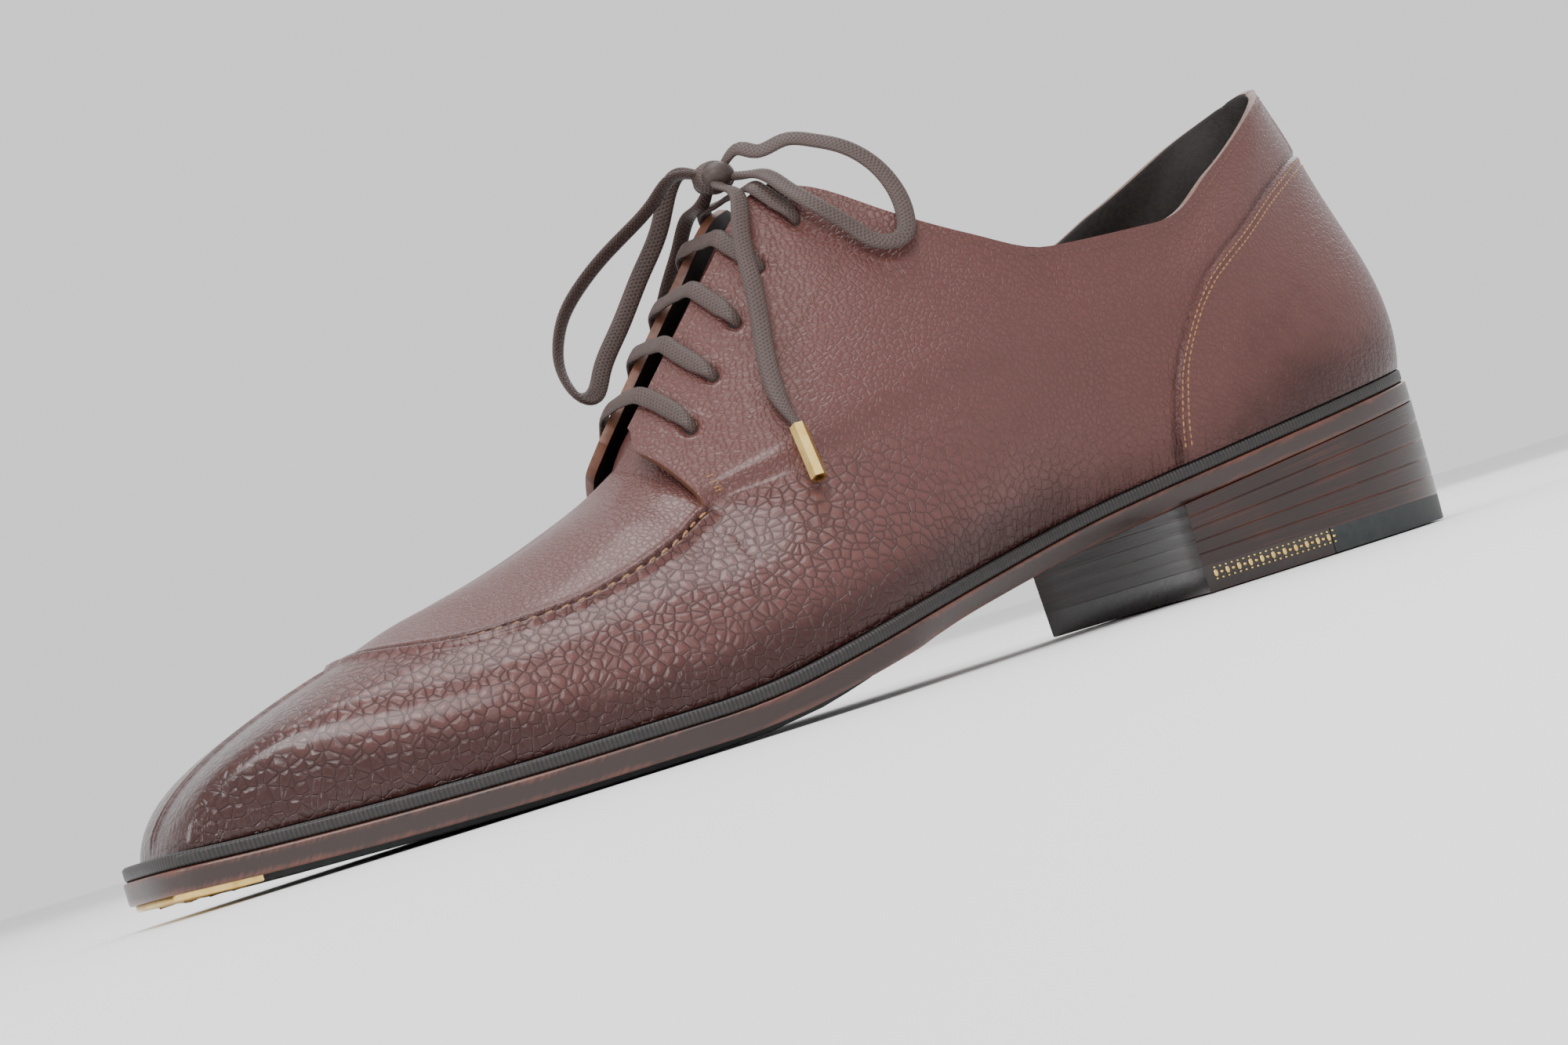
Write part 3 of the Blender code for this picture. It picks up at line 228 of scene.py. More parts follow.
ROUTES = {
    "loop_lateral": [
        (0.0072, -0.0075, 0.0022), (0.0128, -0.0105, 0.0027), (0.0174, -0.0135, 0.0009),
        (0.0214, -0.0170, -0.0021), (0.0252, -0.0212, -0.0078), (0.0262, -0.0250, -0.0143),
        (0.0247, -0.0285, -0.0212), (0.0215, -0.0300, -0.0254), (0.0170, -0.0290, -0.0251),
        (0.0128, -0.0262, -0.0200), (0.0085, -0.0232, -0.0140), (0.0060, -0.0175, -0.0080),
        (0.0046, -0.0110, -0.0030),
    ],
    "loop_medial": [
        (-0.0105, 0.0080, -0.0005), (-0.0169, 0.0125, -0.0052), (-0.0235, 0.0145, -0.0092),
        (-0.0294, 0.0160, -0.0136), (-0.0347, 0.0165, -0.0188), (-0.0379, 0.0160, -0.0240),
        (-0.0397, 0.0145, -0.0311), (-0.0380, 0.0135, -0.0362), (-0.0340, 0.0155, -0.0365),
        (-0.0290, 0.0185, -0.0315), (-0.0215, 0.0200, -0.0235), (-0.0135, 0.0185, -0.0135),
        (-0.0080, 0.0140, -0.0050),
    ],
    "end_lateral": [
        (-0.0020, -0.0100, -0.0050), (-0.0042, -0.0145, -0.0105), (-0.0068, -0.0170, -0.0155),
        (-0.0111, -0.0233, -0.0276), (-0.0135, -0.0258, -0.0358), (-0.0168, -0.0299, -0.0446),
        (-0.0181, -0.0334, -0.0525), (-0.0178, -0.0362, -0.0572),
    ],
    "end_medial": [
        (-0.0020, 0.0120, -0.0050), (-0.0042, 0.0165, -0.0105), (-0.0068, 0.0190, -0.0155),
        (-0.0111, 0.0253, -0.0276), (-0.0135, 0.0278, -0.0358), (-0.0168, 0.0319, -0.0446),
        (-0.0181, 0.0354, -0.0525), (-0.0178, 0.0382, -0.0572),
    ],
}


def unit(vectors: np.ndarray) -> np.ndarray:
    """Vectors of length one, along the last axis."""
    return vectors / np.maximum(np.linalg.norm(vectors, axis=-1, keepdims=True), 1e-12)


def smooth_step(value: np.ndarray | float, low: float = 0.0, high: float = 1.0) -> np.ndarray:
    """Soft rise from 0 at low to 1 at high."""
    t = np.clip((np.asarray(value, float) - low) / (high - low), 0.0, 1.0)
    return t * t * (3 - 2 * t)


def hump(distance: np.ndarray | float, width: float) -> np.ndarray:
    """Rounded hump of height one about distance zero."""
    return np.exp(-(np.asarray(distance, float) / width) ** 2)


def humps(distance: np.ndarray, parts: Sequence[tuple[float, float, float]]) -> np.ndarray:
    """Sum of humps, each with its height, its place and its width."""
    return sum(height * hump(distance - place, width) for height, place, width in parts)


def eased(ends: np.ndarray, slopes: np.ndarray, step: float, t: float) -> np.ndarray:
    """A point of the cubic curve between two rows.

    Args:
        ends: the values at both rows.
        slopes: the slopes at both rows.
        step: distance between the rows.
        t: share of the way from the first row to the second.

    Returns:
        The values there.
    """
    ease = 3 * t * t - 2 * t ** 3
    return (ends[0] * (1 - ease) + ends[1] * ease + step * slopes[0] * (t ** 3 - 2 * t * t + t)
            + step * slopes[1] * (t ** 3 - t * t))


class Track:
    """A smooth line of several values through the rows of a table."""

    def __init__(self, places: Sequence[float], values: Sequence, flat: Sequence[int] = ()) -> None:
        """Fits the line.

        Args:
            places: where each row of values stands.
            values: one row of numbers a place.
            flat: columns that run level at both ends.
        """
        self.places = np.asarray(places, float)
        self.values = np.asarray(values, float).reshape(len(places), -1)
        steps = np.diff(self.places)[:, None]
        slopes = np.diff(self.values, axis=0) / steps
        self.tangents = np.zeros_like(self.values)
        inner = (slopes[:-1] * steps[1:] + slopes[1:] * steps[:-1]) / (steps[:-1] + steps[1:])
        limit = 3.0 * np.minimum(np.abs(slopes[:-1]), np.abs(slopes[1:]))
        turned = slopes[:-1] * slopes[1:] <= 0.0
        self.tangents[1:-1] = np.where(turned, 0.0, np.clip(inner, -limit, limit))
        self.tangents[0], self.tangents[-1] = slopes[0], slopes[-1]
        for column in flat:
            self.tangents[[0, -1], column] = 0.0

    def at(self, place: float) -> np.ndarray:
        """Values at a place."""
        place = min(max(place, self.places[0]), self.places[-1])
        row = int(min(np.searchsorted(self.places, place, side="right") - 1, len(self.places) - 2))
        step = self.places[row + 1] - self.places[row]
        t = (place - self.places[row]) / step
        return eased(self.values[row:row + 2], self.tangents[row:row + 2], step, t)


class Loop:
    """A closed smooth line through points, read by the number of the point."""

    def __init__(self, points: Sequence) -> None:
        """Fits the line through the points, with even bending."""
        self.points = np.asarray(points, float)
        self.steps = np.linalg.norm(np.roll(self.points, -1, axis=0) - self.points, axis=1)
        before = np.roll(self.steps, 1)
        count = len(self.points)
        matrix, right = np.zeros((count, count)), np.zeros_like(self.points)
        for i in range(count):
            last, following = (i - 1) % count, (i + 1) % count
            matrix[i, last] += self.steps[i]
            matrix[i, i] += 2 * (self.steps[i] + before[i])
            matrix[i, following] += before[i]
            right[i] = 3 * (self.steps[i] * (self.points[i] - self.points[last]) / before[i]
                            + before[i] * (self.points[following] - self.points[i]) / self.steps[i])
        self.tangents = np.linalg.solve(matrix, right)

    def at(self, number: float) -> tuple[np.ndarray, np.ndarray]:
        """The point at a number and the direction of travel there."""
        i = int(math.floor(number)) % len(self.points)
        t = number - math.floor(number)
        j = (i + 1) % len(self.points)
        step = self.steps[i]
        point = eased(self.points[[i, j]], self.tangents[[i, j]], step, t)
        way = (6 * (t - t * t) * (self.points[j] - self.points[i]) / step
               + self.tangents[i] * (3 * t * t - 4 * t + 1) + self.tangents[j] * (3 * t * t - 2 * t))
        return point, way


def smooth_route(points: Sequence, spacing: float) -> np.ndarray:
    """Even points along a smooth curve.

    Args:
        points: places that the curve goes through.
        spacing: distance between the points given back.

    Returns:
        The points, one a row.
    """
    points = np.asarray(points, float)
    count = len(points)
    places = np.concatenate(([0.0], np.cumsum(np.linalg.norm(np.diff(points, axis=0), axis=1))))
    steps = np.diff(places)
    matrix, right = np.zeros((count, count)), np.zeros_like(points)
    matrix[0, :2], matrix[-1, -2:] = (2.0, 1.0), (1.0, 2.0)
    right[0] = 3 * (points[1] - points[0]) / steps[0]
    right[-1] = 3 * (points[-1] - points[-2]) / steps[-1]
    for i in range(1, count - 1):
        before, after = steps[i - 1], steps[i]
        matrix[i, i - 1:i + 2] = (after, 2 * (before + after), before)
        right[i] = 3 * (after * (points[i] - points[i - 1]) / before
                        + before * (points[i + 1] - points[i]) / after)
    curve = Track(places, points)
    curve.tangents = np.linalg.solve(matrix, right)
    stops = max(int(round(places[-1] / spacing)), 2)
    return np.array([curve.at(places[-1] * i / stops) for i in range(stops + 1)])


def lengths_along(points: np.ndarray) -> np.ndarray:
    """Distance walked along the first axis of an array of points."""
    steps = np.linalg.norm(np.diff(points, axis=0), axis=-1)
    return np.concatenate((np.zeros((1,) + steps.shape[1:]), np.cumsum(steps, axis=0)))


class Last:
    """The lasted surface: ribs from the sole over the seam to the centre line, the facing or the collar."""

    def __init__(self, sizes: Sizes) -> None:
        """Fits every line of the last from the tables."""
        self.sizes = sizes
        widths = {"toe": sizes.toe, "ball": sizes.ball, "waist": sizes.waist, "seat": sizes.seat}
        heights = {"vamp": sizes.vamp, "collar": sizes.collar, "back": sizes.back, "instep": sizes.instep}
        length = sizes.length

        def loop_of(table: list[tuple]) -> Loop:
            """One loop round the shoe from a table."""
            lateral = [(row[1] * length, -row[3] * widths[row[2]]) for row in table]
            medial = [(row[1] * length, row[4] * widths[row[2]]) for row in table]
            return Loop(lateral + medial[-2:0:-1])

        def track_of(table: list[tuple], values: Callable[[tuple], object] = lambda row: row[1:],
                     flat: Sequence[int] = ()) -> Track:
            """A line through the rows of a table, by its first column."""
            return Track([row[0] for row in table], [values(row) for row in table], flat)

        self.outline_loop, self.seam_loop = loop_of(OUTLINE), loop_of(SEAM)
        self.underside_track = track_of(UNDERSIDE)
        self.seam_track = track_of(SEAM, lambda r: heights[r[5]] * r[6])
        self.crest_track = track_of(
            CREST, lambda r: (r[1] * length, r[3] * widths[r[2]], r[4] * sizes.vamp))
        self.facing_track = track_of(FACING, lambda r: (
            r[1] * length, r[3] * widths[r[2]], r[4] * widths[r[2]], r[5] * sizes.instep, r[6] * sizes.instep))
        self.collar_track = track_of(COLLAR, lambda r: (
            r[1] * length, r[3] * widths[r[2]], r[4] * widths[r[2]], r[6] * heights[r[5]],
            r[7] * heights[r[5]]))
        self.collar_track.tangents[-1, [0, 3, 4]] = 0.0
        self.shape_track = track_of(SHAPE, flat=range(7))
        self.margin_track, self.bevel_track = track_of(MARGIN), track_of(BEVEL)
        self.shift = np.array([sizes.middle_x, sizes.middle_y, 0.0])

    def underside(self, along: float) -> float:
        """Height of the leather sole's underside at a distance from the toe."""
        s = self.sizes
        breast = s.length - s.heel_length
        spring, lift = self.underside_track.at(min(along / breast, 1.0))
        rise = max(along - breast, 0.0) / s.heel_length
        return s.half_sole + spring * s.toe_spring + lift * s.waist_lift + rise * s.seat_rise

    def welt_top(self, along: float) -> float:
        """Height of the welt's top face at a distance from the toe."""
        return self.underside(along) + self.sizes.outsole + self.sizes.gap + self.sizes.welt

    def margin(self, rib: float) -> float:
        """How far the sole stands out beyond the upper at a rib."""
        return float(self.margin_track.at(rib)[0]) * self.sizes.welt_margin

    @staticmethod
    def loop_number(table: list[tuple], rib: float, side: Side) -> float:
        """Number of a rib on the loop made from a table, read between its rows."""
        places = [row[0] for row in table]
        number = float(np.interp(rib, places, range(len(places))))
        return number if side is Side.LATERAL else 2 * (len(places) - 1) - number

    def outline(self, rib: float, side: Side, inset: float = 0.0) -> tuple[np.ndarray, np.ndarray]:
        """A point of the sole's outline, moved inwards by inset, and the outward direction there."""
        point, way = self.outline_loop.at(self.loop_number(OUTLINE, rib, side))
        out = -unit(np.array([-way[1], way[0]]))
        return point - out * inset, out

    def top_point(self, rib: float, side: Side, facing: bool) -> np.ndarray:
        """Where a rib ends: on the centre line, the edge of the facing or the collar."""
        if not facing:
            return self.crest_track.at(rib)
        track = self.facing_track if rib < 2.0 else self.collar_track
        along, lateral, medial, low, high = track.at(rib)
        return np.array([along, -lateral, low] if side is Side.LATERAL else [along, medial, high])

    def controls(self, rib: float, side: Side, facing: bool) -> np.ndarray:
        """The seven points of the two cubic curves that make a rib."""
        foot, out = self.outline(rib, side, self.margin(rib))
        lean, reach_1, slope_mid, reach_2, reach_3, reach_4, slope_top = self.shape_track.at(rib)
        start = np.array([foot[0], foot[1], self.welt_top(foot[0]) + self.sizes.gap])
        seam_place = self.seam_loop.at(self.loop_number(SEAM, rib, side))[0]
        seam = np.array([*seam_place, self.seam_track.at(rib)[0]])
        top = self.top_point(rib, side, facing)
        inward = top - start
        inward[2] = 0.0
        inward = unit(inward)
        rise = unit(lean * np.array([out[0], out[1], 0.0]) + np.array([0.0, 0.0, 1.0]))
        mid, end = math.radians(slope_mid), math.radians(slope_top)
        over = inward * math.cos(mid) + np.array([0.0, 0.0, math.sin(mid)])
        last = inward * math.cos(end) + np.array([0.0, 0.0, math.sin(end)])
        low_span, high_span = np.linalg.norm(seam - start), np.linalg.norm(top - seam)
        return np.array([start, start + rise * reach_1 * low_span, seam - over * reach_2 * low_span, seam,
                         seam + over * reach_3 * high_span, top - last * reach_4 * high_span, top])

    @staticmethod
    def weights(rows: np.ndarray) -> np.ndarray:
        """Shares of a rib's seven points at each row."""
        table = np.zeros((len(rows), 7))
        for number, row in enumerate(rows):
            first = 0 if row <= 1.0 else 3
            t = row - (0.0 if row <= 1.0 else 1.0)
            s = 1 - t
            table[number, first:first + 4] = (s ** 3, 3 * s * s * t, 3 * s * t * t, t ** 3)
        return table

    def rib_points(self, rib: float, side: Side, rows: np.ndarray, facing: bool) -> np.ndarray:
        """Points of a rib at some rows: 0 at the sole, 1 on the seam, 2 at the top."""
        return self.weights(np.asarray(rows, float)) @ self.controls(rib, side, facing)

    def point(self, rib: float, side: Side, row: float, depth: float = 0.0) -> np.ndarray:
        """A point so far under the lasted surface, facing side of the throat."""
        ribs = (max(rib - 0.01, 1.0), rib, min(rib + 0.01, 3.0))
        rows = np.array([max(row - 0.02, 0.0), row, min(row + 0.02, 2.0)])
        low, here, high = (self.rib_points(r, side, rows, True) for r in ribs)
        normal = -unit(np.cross(high[1] - low[1], here[2] - here[0]) * side.value)
        return here[1] - normal * depth

    def facing_place(self, rib: float, side: Side, inset: float, lift: float) -> np.ndarray:
        """A point over the facing, so far down the rib from its edge and so far off its face."""
        low, high = 1.0, 2.0
        controls = self.controls(rib, side, True)
        for _ in range(HALVINGS_OF_ROW):
            row = (low + high) / 2
            near = self.weights(np.array([row]))[0] @ controls
            if np.linalg.norm(near - controls[-1]) > inset:
                low = row
            else:
                high = row
        step = self.sizes.facing_step * float(smooth_step((row - 1.0) / 0.25))
        return self.point(rib, side, row, -(step + lift))

    def place(self, points: np.ndarray) -> np.ndarray:
        """Points counted from the toe, in the shoe's own frame."""
        return np.asarray(points, float) - self.shift


class Num:
    """A number in a material, with the sums that the finishes need."""

    def __init__(self, bench: "Bench", socket: bpy.types.NodeSocket) -> None:
        """Wraps a socket of the material that the bench builds."""
        self.bench, self.socket = bench, socket

    def _sum(self, kind: str, first: object, second: object = 0.0) -> "Num":
        """One Math node on two values."""
        return Num(self.bench, self.bench.node("Math", {"operation": kind}, {0: first, 1: second}).outputs[0])

    def __add__(self, other: object) -> "Num":
        """Sum."""
        return self._sum("ADD", self, other)

    __radd__ = __add__

    def __sub__(self, other: object) -> "Num":
        """Difference."""
        return self._sum("SUBTRACT", self, other)

    def __rsub__(self, other: object) -> "Num":
        """Difference from another value."""
        return self._sum("SUBTRACT", other, self)

    def __mul__(self, other: object) -> "Num":
        """Product."""
        return self._sum("MULTIPLY", self, other)

    __rmul__ = __mul__

    def larger(self, other: object) -> "Num":
        """The larger of two values."""
        return self._sum("MAXIMUM", self, other)

    def apply(self, kind: str) -> "Num":
        """A one-value operation such as SINE, ABSOLUTE or FRACT."""
        return self._sum(kind, self)

    def ramp(self, low: float, high: float) -> "Num":
        """Soft rise from 0 at low to 1 at high."""
        made = self.bench.node("MapRange", {"interpolation_type": "SMOOTHSTEP"}, {0: self, 1: low, 2: high})
        return Num(self.bench, made.outputs[0])


class Bench:
    """Builds the nodes of one material."""

    def __init__(self, name: str) -> None:
        """Starts an empty material with a shader."""
        self.material = bpy.data.materials.new(name)
        self.material.use_nodes = True
        self.tree = self.material.node_tree
        self.shader = self.tree.nodes["Principled BSDF"]

    def node(self, kind: str, settings: dict | None = None, inputs: dict | None = None) -> Node:
        """Adds a node.

        Args:
            kind: the node's type without its ShaderNode.
            settings: properties set before the sockets.
            inputs: values or links by the socket's name or number.

        Returns:
            The node.
        """
        made = self.tree.nodes.new("ShaderNode" + kind)
        for name, value in (settings or {}).items():
            setattr(made, name, value)
        for name, value in (inputs or {}).items():
            self.feed(made.inputs[name], value)
        return made

    def feed(self, socket: bpy.types.NodeSocket, value: object) -> None:
        """Links a socket or sets its value."""
        if isinstance(value, Num):
            value = value.socket
        if isinstance(value, bpy.types.NodeSocket):
            self.tree.links.new(value, socket)
        else:
            plain = isinstance(value, tuple) and len(value) == 3 and socket.type == "RGBA"
            socket.default_value = (*value, 1.0) if plain else value

    def set(self, **values: object) -> None:
        """Sets or links the shader's own sockets, named with _ for a space."""
        for name, value in values.items():
            self.feed(self.shader.inputs[name.replace("_", " ")], value)

    def attribute(self, name: str) -> Num:
        """A number that the mesh carries at each point."""
        return Num(self, self.node("Attribute", {"attribute_name": name}).outputs["Fac"])

    def place(self, kind: str = "Object", scale: tuple | None = None) -> object:
        """Object or UV coordinates, scaled where a scale is given."""
        source = self.node("TexCoord").outputs[kind]
        return self.node("Mapping", {}, {"Vector": source, "Scale": scale}).outputs[0] if scale else source

    def axes(self, source: object) -> tuple[Num, Num, Num]:
        """The three parts of a vector."""
        made = self.node("SeparateXYZ", {}, {0: source})
        return tuple(Num(self, made.outputs[i]) for i in range(3))

    def noise(self, source: object, scale: float, detail: float = 4.0, rough: float = 0.55) -> Num:
        """Cloudy noise between 0 and 1."""
        made = self.node("TexNoise", {}, {"Vector": source, "Scale": scale, "Detail": detail,
                                          "Roughness": rough})
        return Num(self, made.outputs["Fac"])

    def cells(self, source: object, scale: float) -> Num:
        """Distance to the edge of an uneven cell."""
        made = self.node("TexVoronoi", {"feature": "DISTANCE_TO_EDGE"},
                         {"Vector": source, "Scale": scale, "Randomness": 0.92})
        return Num(self, made.outputs["Distance"])

    def bent(self, source: object, scale: float, reach: float) -> object:
        """Coordinates pushed about by noise."""
        push = self.node("TexNoise", {}, {"Vector": source, "Scale": scale, "Detail": 2.0}).outputs["Color"]
        centred = self.node("VectorMath", {"operation": "SUBTRACT"}, {0: push, 1: (0.5, 0.5, 0.5)}).outputs[0]
        made = self.node("VectorMath", {"operation": "MULTIPLY_ADD"},
                         {0: centred, 1: (reach, reach, reach), 2: source})
        return made.outputs[0]

    def mix(self, share: object, first: object, second: object) -> bpy.types.NodeSocket:
        """Colour between two colours."""
        made = self.node("Mix", {"data_type": "RGBA", "clamp_factor": True}, {0: share})
        self.feed(made.inputs[6], first)
        self.feed(made.inputs[7], second)
        return made.outputs[2]

    def stretched(self, first: object, second: object) -> bpy.types.NodeSocket:
        """Coordinates put together from two numbers."""
        return self.node("CombineXYZ", {}, {0: first, 1: second}).outputs[0]

    def bump(self, height: Num, distance: float) -> None:
        """Relief on the shader's normal."""
        made = self.node("Bump", {}, {"Height": height, "Distance": distance, "Strength": 1.0})
        self.feed(self.shader.inputs["Normal"], made.outputs[0])


@dataclass(frozen=True)
class GrainLeather:
    """Pebbled calf, burnished along the welt and at the toe, with painted shade in the grain's creases."""

    light: tuple = (0.108, 0.038, 0.033)
    deep: tuple = (0.034, 0.0060, 0.0040)
    coarse_cell: float = 0.0022
    fine_cell: float = 0.0013
    pucker: float = 0.0034

    def build(self, name: str = "grain_leather") -> bpy.types.Material:
        """Makes the material, which reads the mesh's burnish, coarse and low numbers."""
        bench = Bench(name)
        source = bench.place()
        burnish, coarse, low = (bench.attribute(n) for n in ("burnish", "coarse", "low"))
        cell = bench.cells(bench.bent(source, 260.0, 0.0007), 1 / self.coarse_cell)
        big = cell.ramp(0.0, 0.085) * 0.55 + cell.ramp(0.0, 0.42) * 0.45
        pore = bench.cells(bench.bent(source, 480.0, 0.0004), 1 / self.fine_cell)
        small = pore.ramp(0.0, 0.16) * 0.6 + pore.ramp(0.0, 0.5) * 0.4
        tiny = bench.noise(source, 2600.0, 3.0)
        across, up, _ = bench.axes(bench.place("UV"))
        wrinkle = bench.noise(bench.stretched(across * 620.0, up * 95.0), 1.0, 3.0).ramp(0.36, 0.60)
        pucker = (across * (2 * math.pi / self.pucker)).apply("SINE") * 0.5
        near_seam = 1 - up.apply("ABSOLUTE").ramp(0.0012, 0.0042)
        relief = (big * coarse * (1 - low * 0.5) + small * (1 - coarse) * 0.42 + tiny * 0.08
                  + wrinkle * low * 0.9 + pucker * near_seam * bench.attribute("apron") * 0.5)
        cloud = bench.noise(source, 42.0, 3.0)
        fine_cloud = bench.noise(source, 320.0, 4.0)
        tone = (burnish * 1.45 + (cloud - 0.5) * 0.7 + (fine_cloud - 0.5) * 0.35).ramp(0.05, 1.0)
        colour = bench.mix(tone, self.light, self.deep)
        # Painted shade: the grain's creases, the low lines of its relief, are mixed towards dark brown.
        shaded_crease = (1 - big) * coarse * 0.80 + (1 - small) * (1 - coarse) * 0.28
        colour = bench.mix(shaded_crease * (1 - burnish * 0.6), colour, (0.040, 0.0125, 0.0105))
        gloss = bench.attribute("gloss")
        bench.set(Base_Color=colour, Roughness=0.42 - gloss * 0.15 + shaded_crease * 0.10 - burnish * 0.04,
                  Coat_Weight=0.05 + gloss * 0.34, Coat_Roughness=0.16, Specular_IOR_Level=0.34)
        bench.bump(relief, 0.00034)
        return bench.material


@dataclass(frozen=True)
class PlainLeather:
    """Smooth leather in one tone with fine pores, such as a lining or a cut edge."""

    colour: tuple
    second: tuple
    roughness: float = 0.5
    scale: float = 900.0
    relief: float = 0.00006
    coat: float = 0.1

    def build(self, name: str) -> bpy.types.Material:
        """Makes the material."""
        bench = Bench(name)
        source = bench.place()
        cloud, pores = bench.noise(source, 60.0), bench.noise(source, self.scale, 5.0, 0.65)
        share = (cloud * 0.6 + pores * 0.6).ramp(0.35, 0.85)
        bench.set(Base_Color=bench.mix(share, self.colour, self.second),
                  Roughness=self.roughness + (pores - 0.5) * 0.25, Coat_Weight=self.coat, Coat_Roughness=0.25)
        bench.bump(pores, self.relief)
        return bench.material


@dataclass(frozen=True)
class MilledWelt:
    """Black waxed welt with fine notches across its top and edge."""

    pitch: float = 0.00085

    def build(self, name: str = "milled_welt") -> bpy.types.Material:
        """Makes the material, whose notches follow the strip's own UV map."""
        bench = Bench(name)
        across, _, _ = bench.axes(bench.place("UV"))
        source = bench.place()
        wheel = (across * (2 * math.pi / self.pitch)).apply("SINE")
        dirt = bench.noise(source, 700.0, 4.0)
        tone = (wheel * 0.20 + dirt).ramp(0.25, 0.95)
        bench.set(Base_Color=bench.mix(tone, (0.0045, 0.0036, 0.0034), (0.024, 0.017, 0.015)),
                  Roughness=0.42 + dirt * 0.22, Coat_Weight=0.12, Coat_Roughness=0.2)
        bench.bump(wheel * 0.6 + dirt * 0.7, 0.00010)
        return bench.material


@dataclass(frozen=True)
class SoleEdge:
    """Burnished sole edge: nearly black along its middle, reddish along both rims."""

    dark: tuple = (0.021, 0.0078, 0.0055)
    red: tuple = (0.110, 0.033, 0.019)

    def build(self, name: str = "sole_edge") -> bpy.types.Material:
        """Makes the material, which reads the height share on the edge."""
        bench = Bench(name)
        rim = bench.attribute("rim")
        across, up, _ = bench.axes(bench.place("UV"))
        fibre = bench.noise(bench.stretched(across * 90.0, up * 900.0), 1.0, 5.0, 0.6)
        cloud = bench.noise(bench.place(), 70.0, 4.0)
        near = (rim * 2 - 1).apply("ABSOLUTE")
        share = (near * 0.85 + (fibre - 0.5) * 0.9 + (cloud - 0.5) * 0.9).ramp(0.42, 1.05)
        bench.set(Base_Color=bench.mix(share, self.dark, self.red), Roughness=0.30 + fibre * 0.2,
                  Coat_Weight=0.30, Coat_Roughness=0.16)
        bench.bump(fibre, 0.00010)
        return bench.material


@dataclass(frozen=True)
class SoleBottom:
    """Polished leather underside with a closed stitch channel along its edge and a red waist."""

    tan: tuple = (0.175, 0.078, 0.062)
    red: tuple = (0.052, 0.011, 0.007)

    def build(self, name: str = "sole_bottom") -> bpy.types.Material:
        """Makes the material, which reads the distance from the edge and along the sole."""
        bench = Bench(name)
        inset, back = bench.attribute("inset"), bench.attribute("back")
        source = bench.place()
        cloud, pores = bench.noise(source, 38.0, 4.0), bench.noise(source, 1100.0, 4.0)
        streak = bench.noise(bench.place("Object", (60.0, 420.0, 60.0)), 1.0, 4.0)
        share = (back + (cloud - 0.5) * 0.6 + (streak - 0.5) * 0.3).ramp(0.35, 1.05)
        colour = bench.mix(share, self.tan, self.red)
        colour = bench.mix((1 - inset.ramp(0.0002, 0.0016)) * 0.8, colour, (0.034, 0.010, 0.007))
        groove = 1 - (inset - 0.0031).apply("ABSOLUTE").ramp(0.00012, 0.00045)
        colour = bench.mix(groove * 0.55, colour, (0.034, 0.012, 0.009))
        bench.set(Base_Color=colour, Roughness=0.24 + pores * 0.16, Coat_Weight=0.5, Coat_Roughness=0.1)
        bench.bump(pores * 0.25 + streak * 0.3 - groove * 1.2, 0.00014)
        return bench.material


@dataclass(frozen=True)
class StackedLeather:
    """Waxed heel lifts with thin reddish lines along the layers."""

    dark: tuple = (0.0150, 0.0058, 0.0044)
    red: tuple = (0.088, 0.024, 0.014)

    def build(self, name: str = "stacked_leather") -> bpy.types.Material:
        """Makes the material, which reads the number of the layer."""
        bench = Bench(name)
        layer = bench.attribute("layer")
        across, _, _ = bench.axes(bench.place("UV"))
        fibre = bench.noise(bench.stretched(across * 26.0, layer * 7.0), 1.0, 5.0, 0.62)
        cloud = bench.noise(bench.place(), 60.0, 3.0)
        joint = 1 - ((layer + 0.5).apply("FRACT") - 0.5).apply("ABSOLUTE").ramp(0.02, 0.10)
        share = (fibre * 0.9 + (cloud - 0.5) * 0.5 + joint * 0.20).ramp(0.42, 0.88)
        bench.set(Base_Color=bench.mix(share, self.dark, self.red), Roughness=0.28 + fibre * 0.16,
                  Coat_Weight=0.25, Coat_Roughness=0.12, Specular_IOR_Level=0.4)
        bench.bump(fibre * 0.5 - joint * 0.5, 0.00012)
        return bench.material


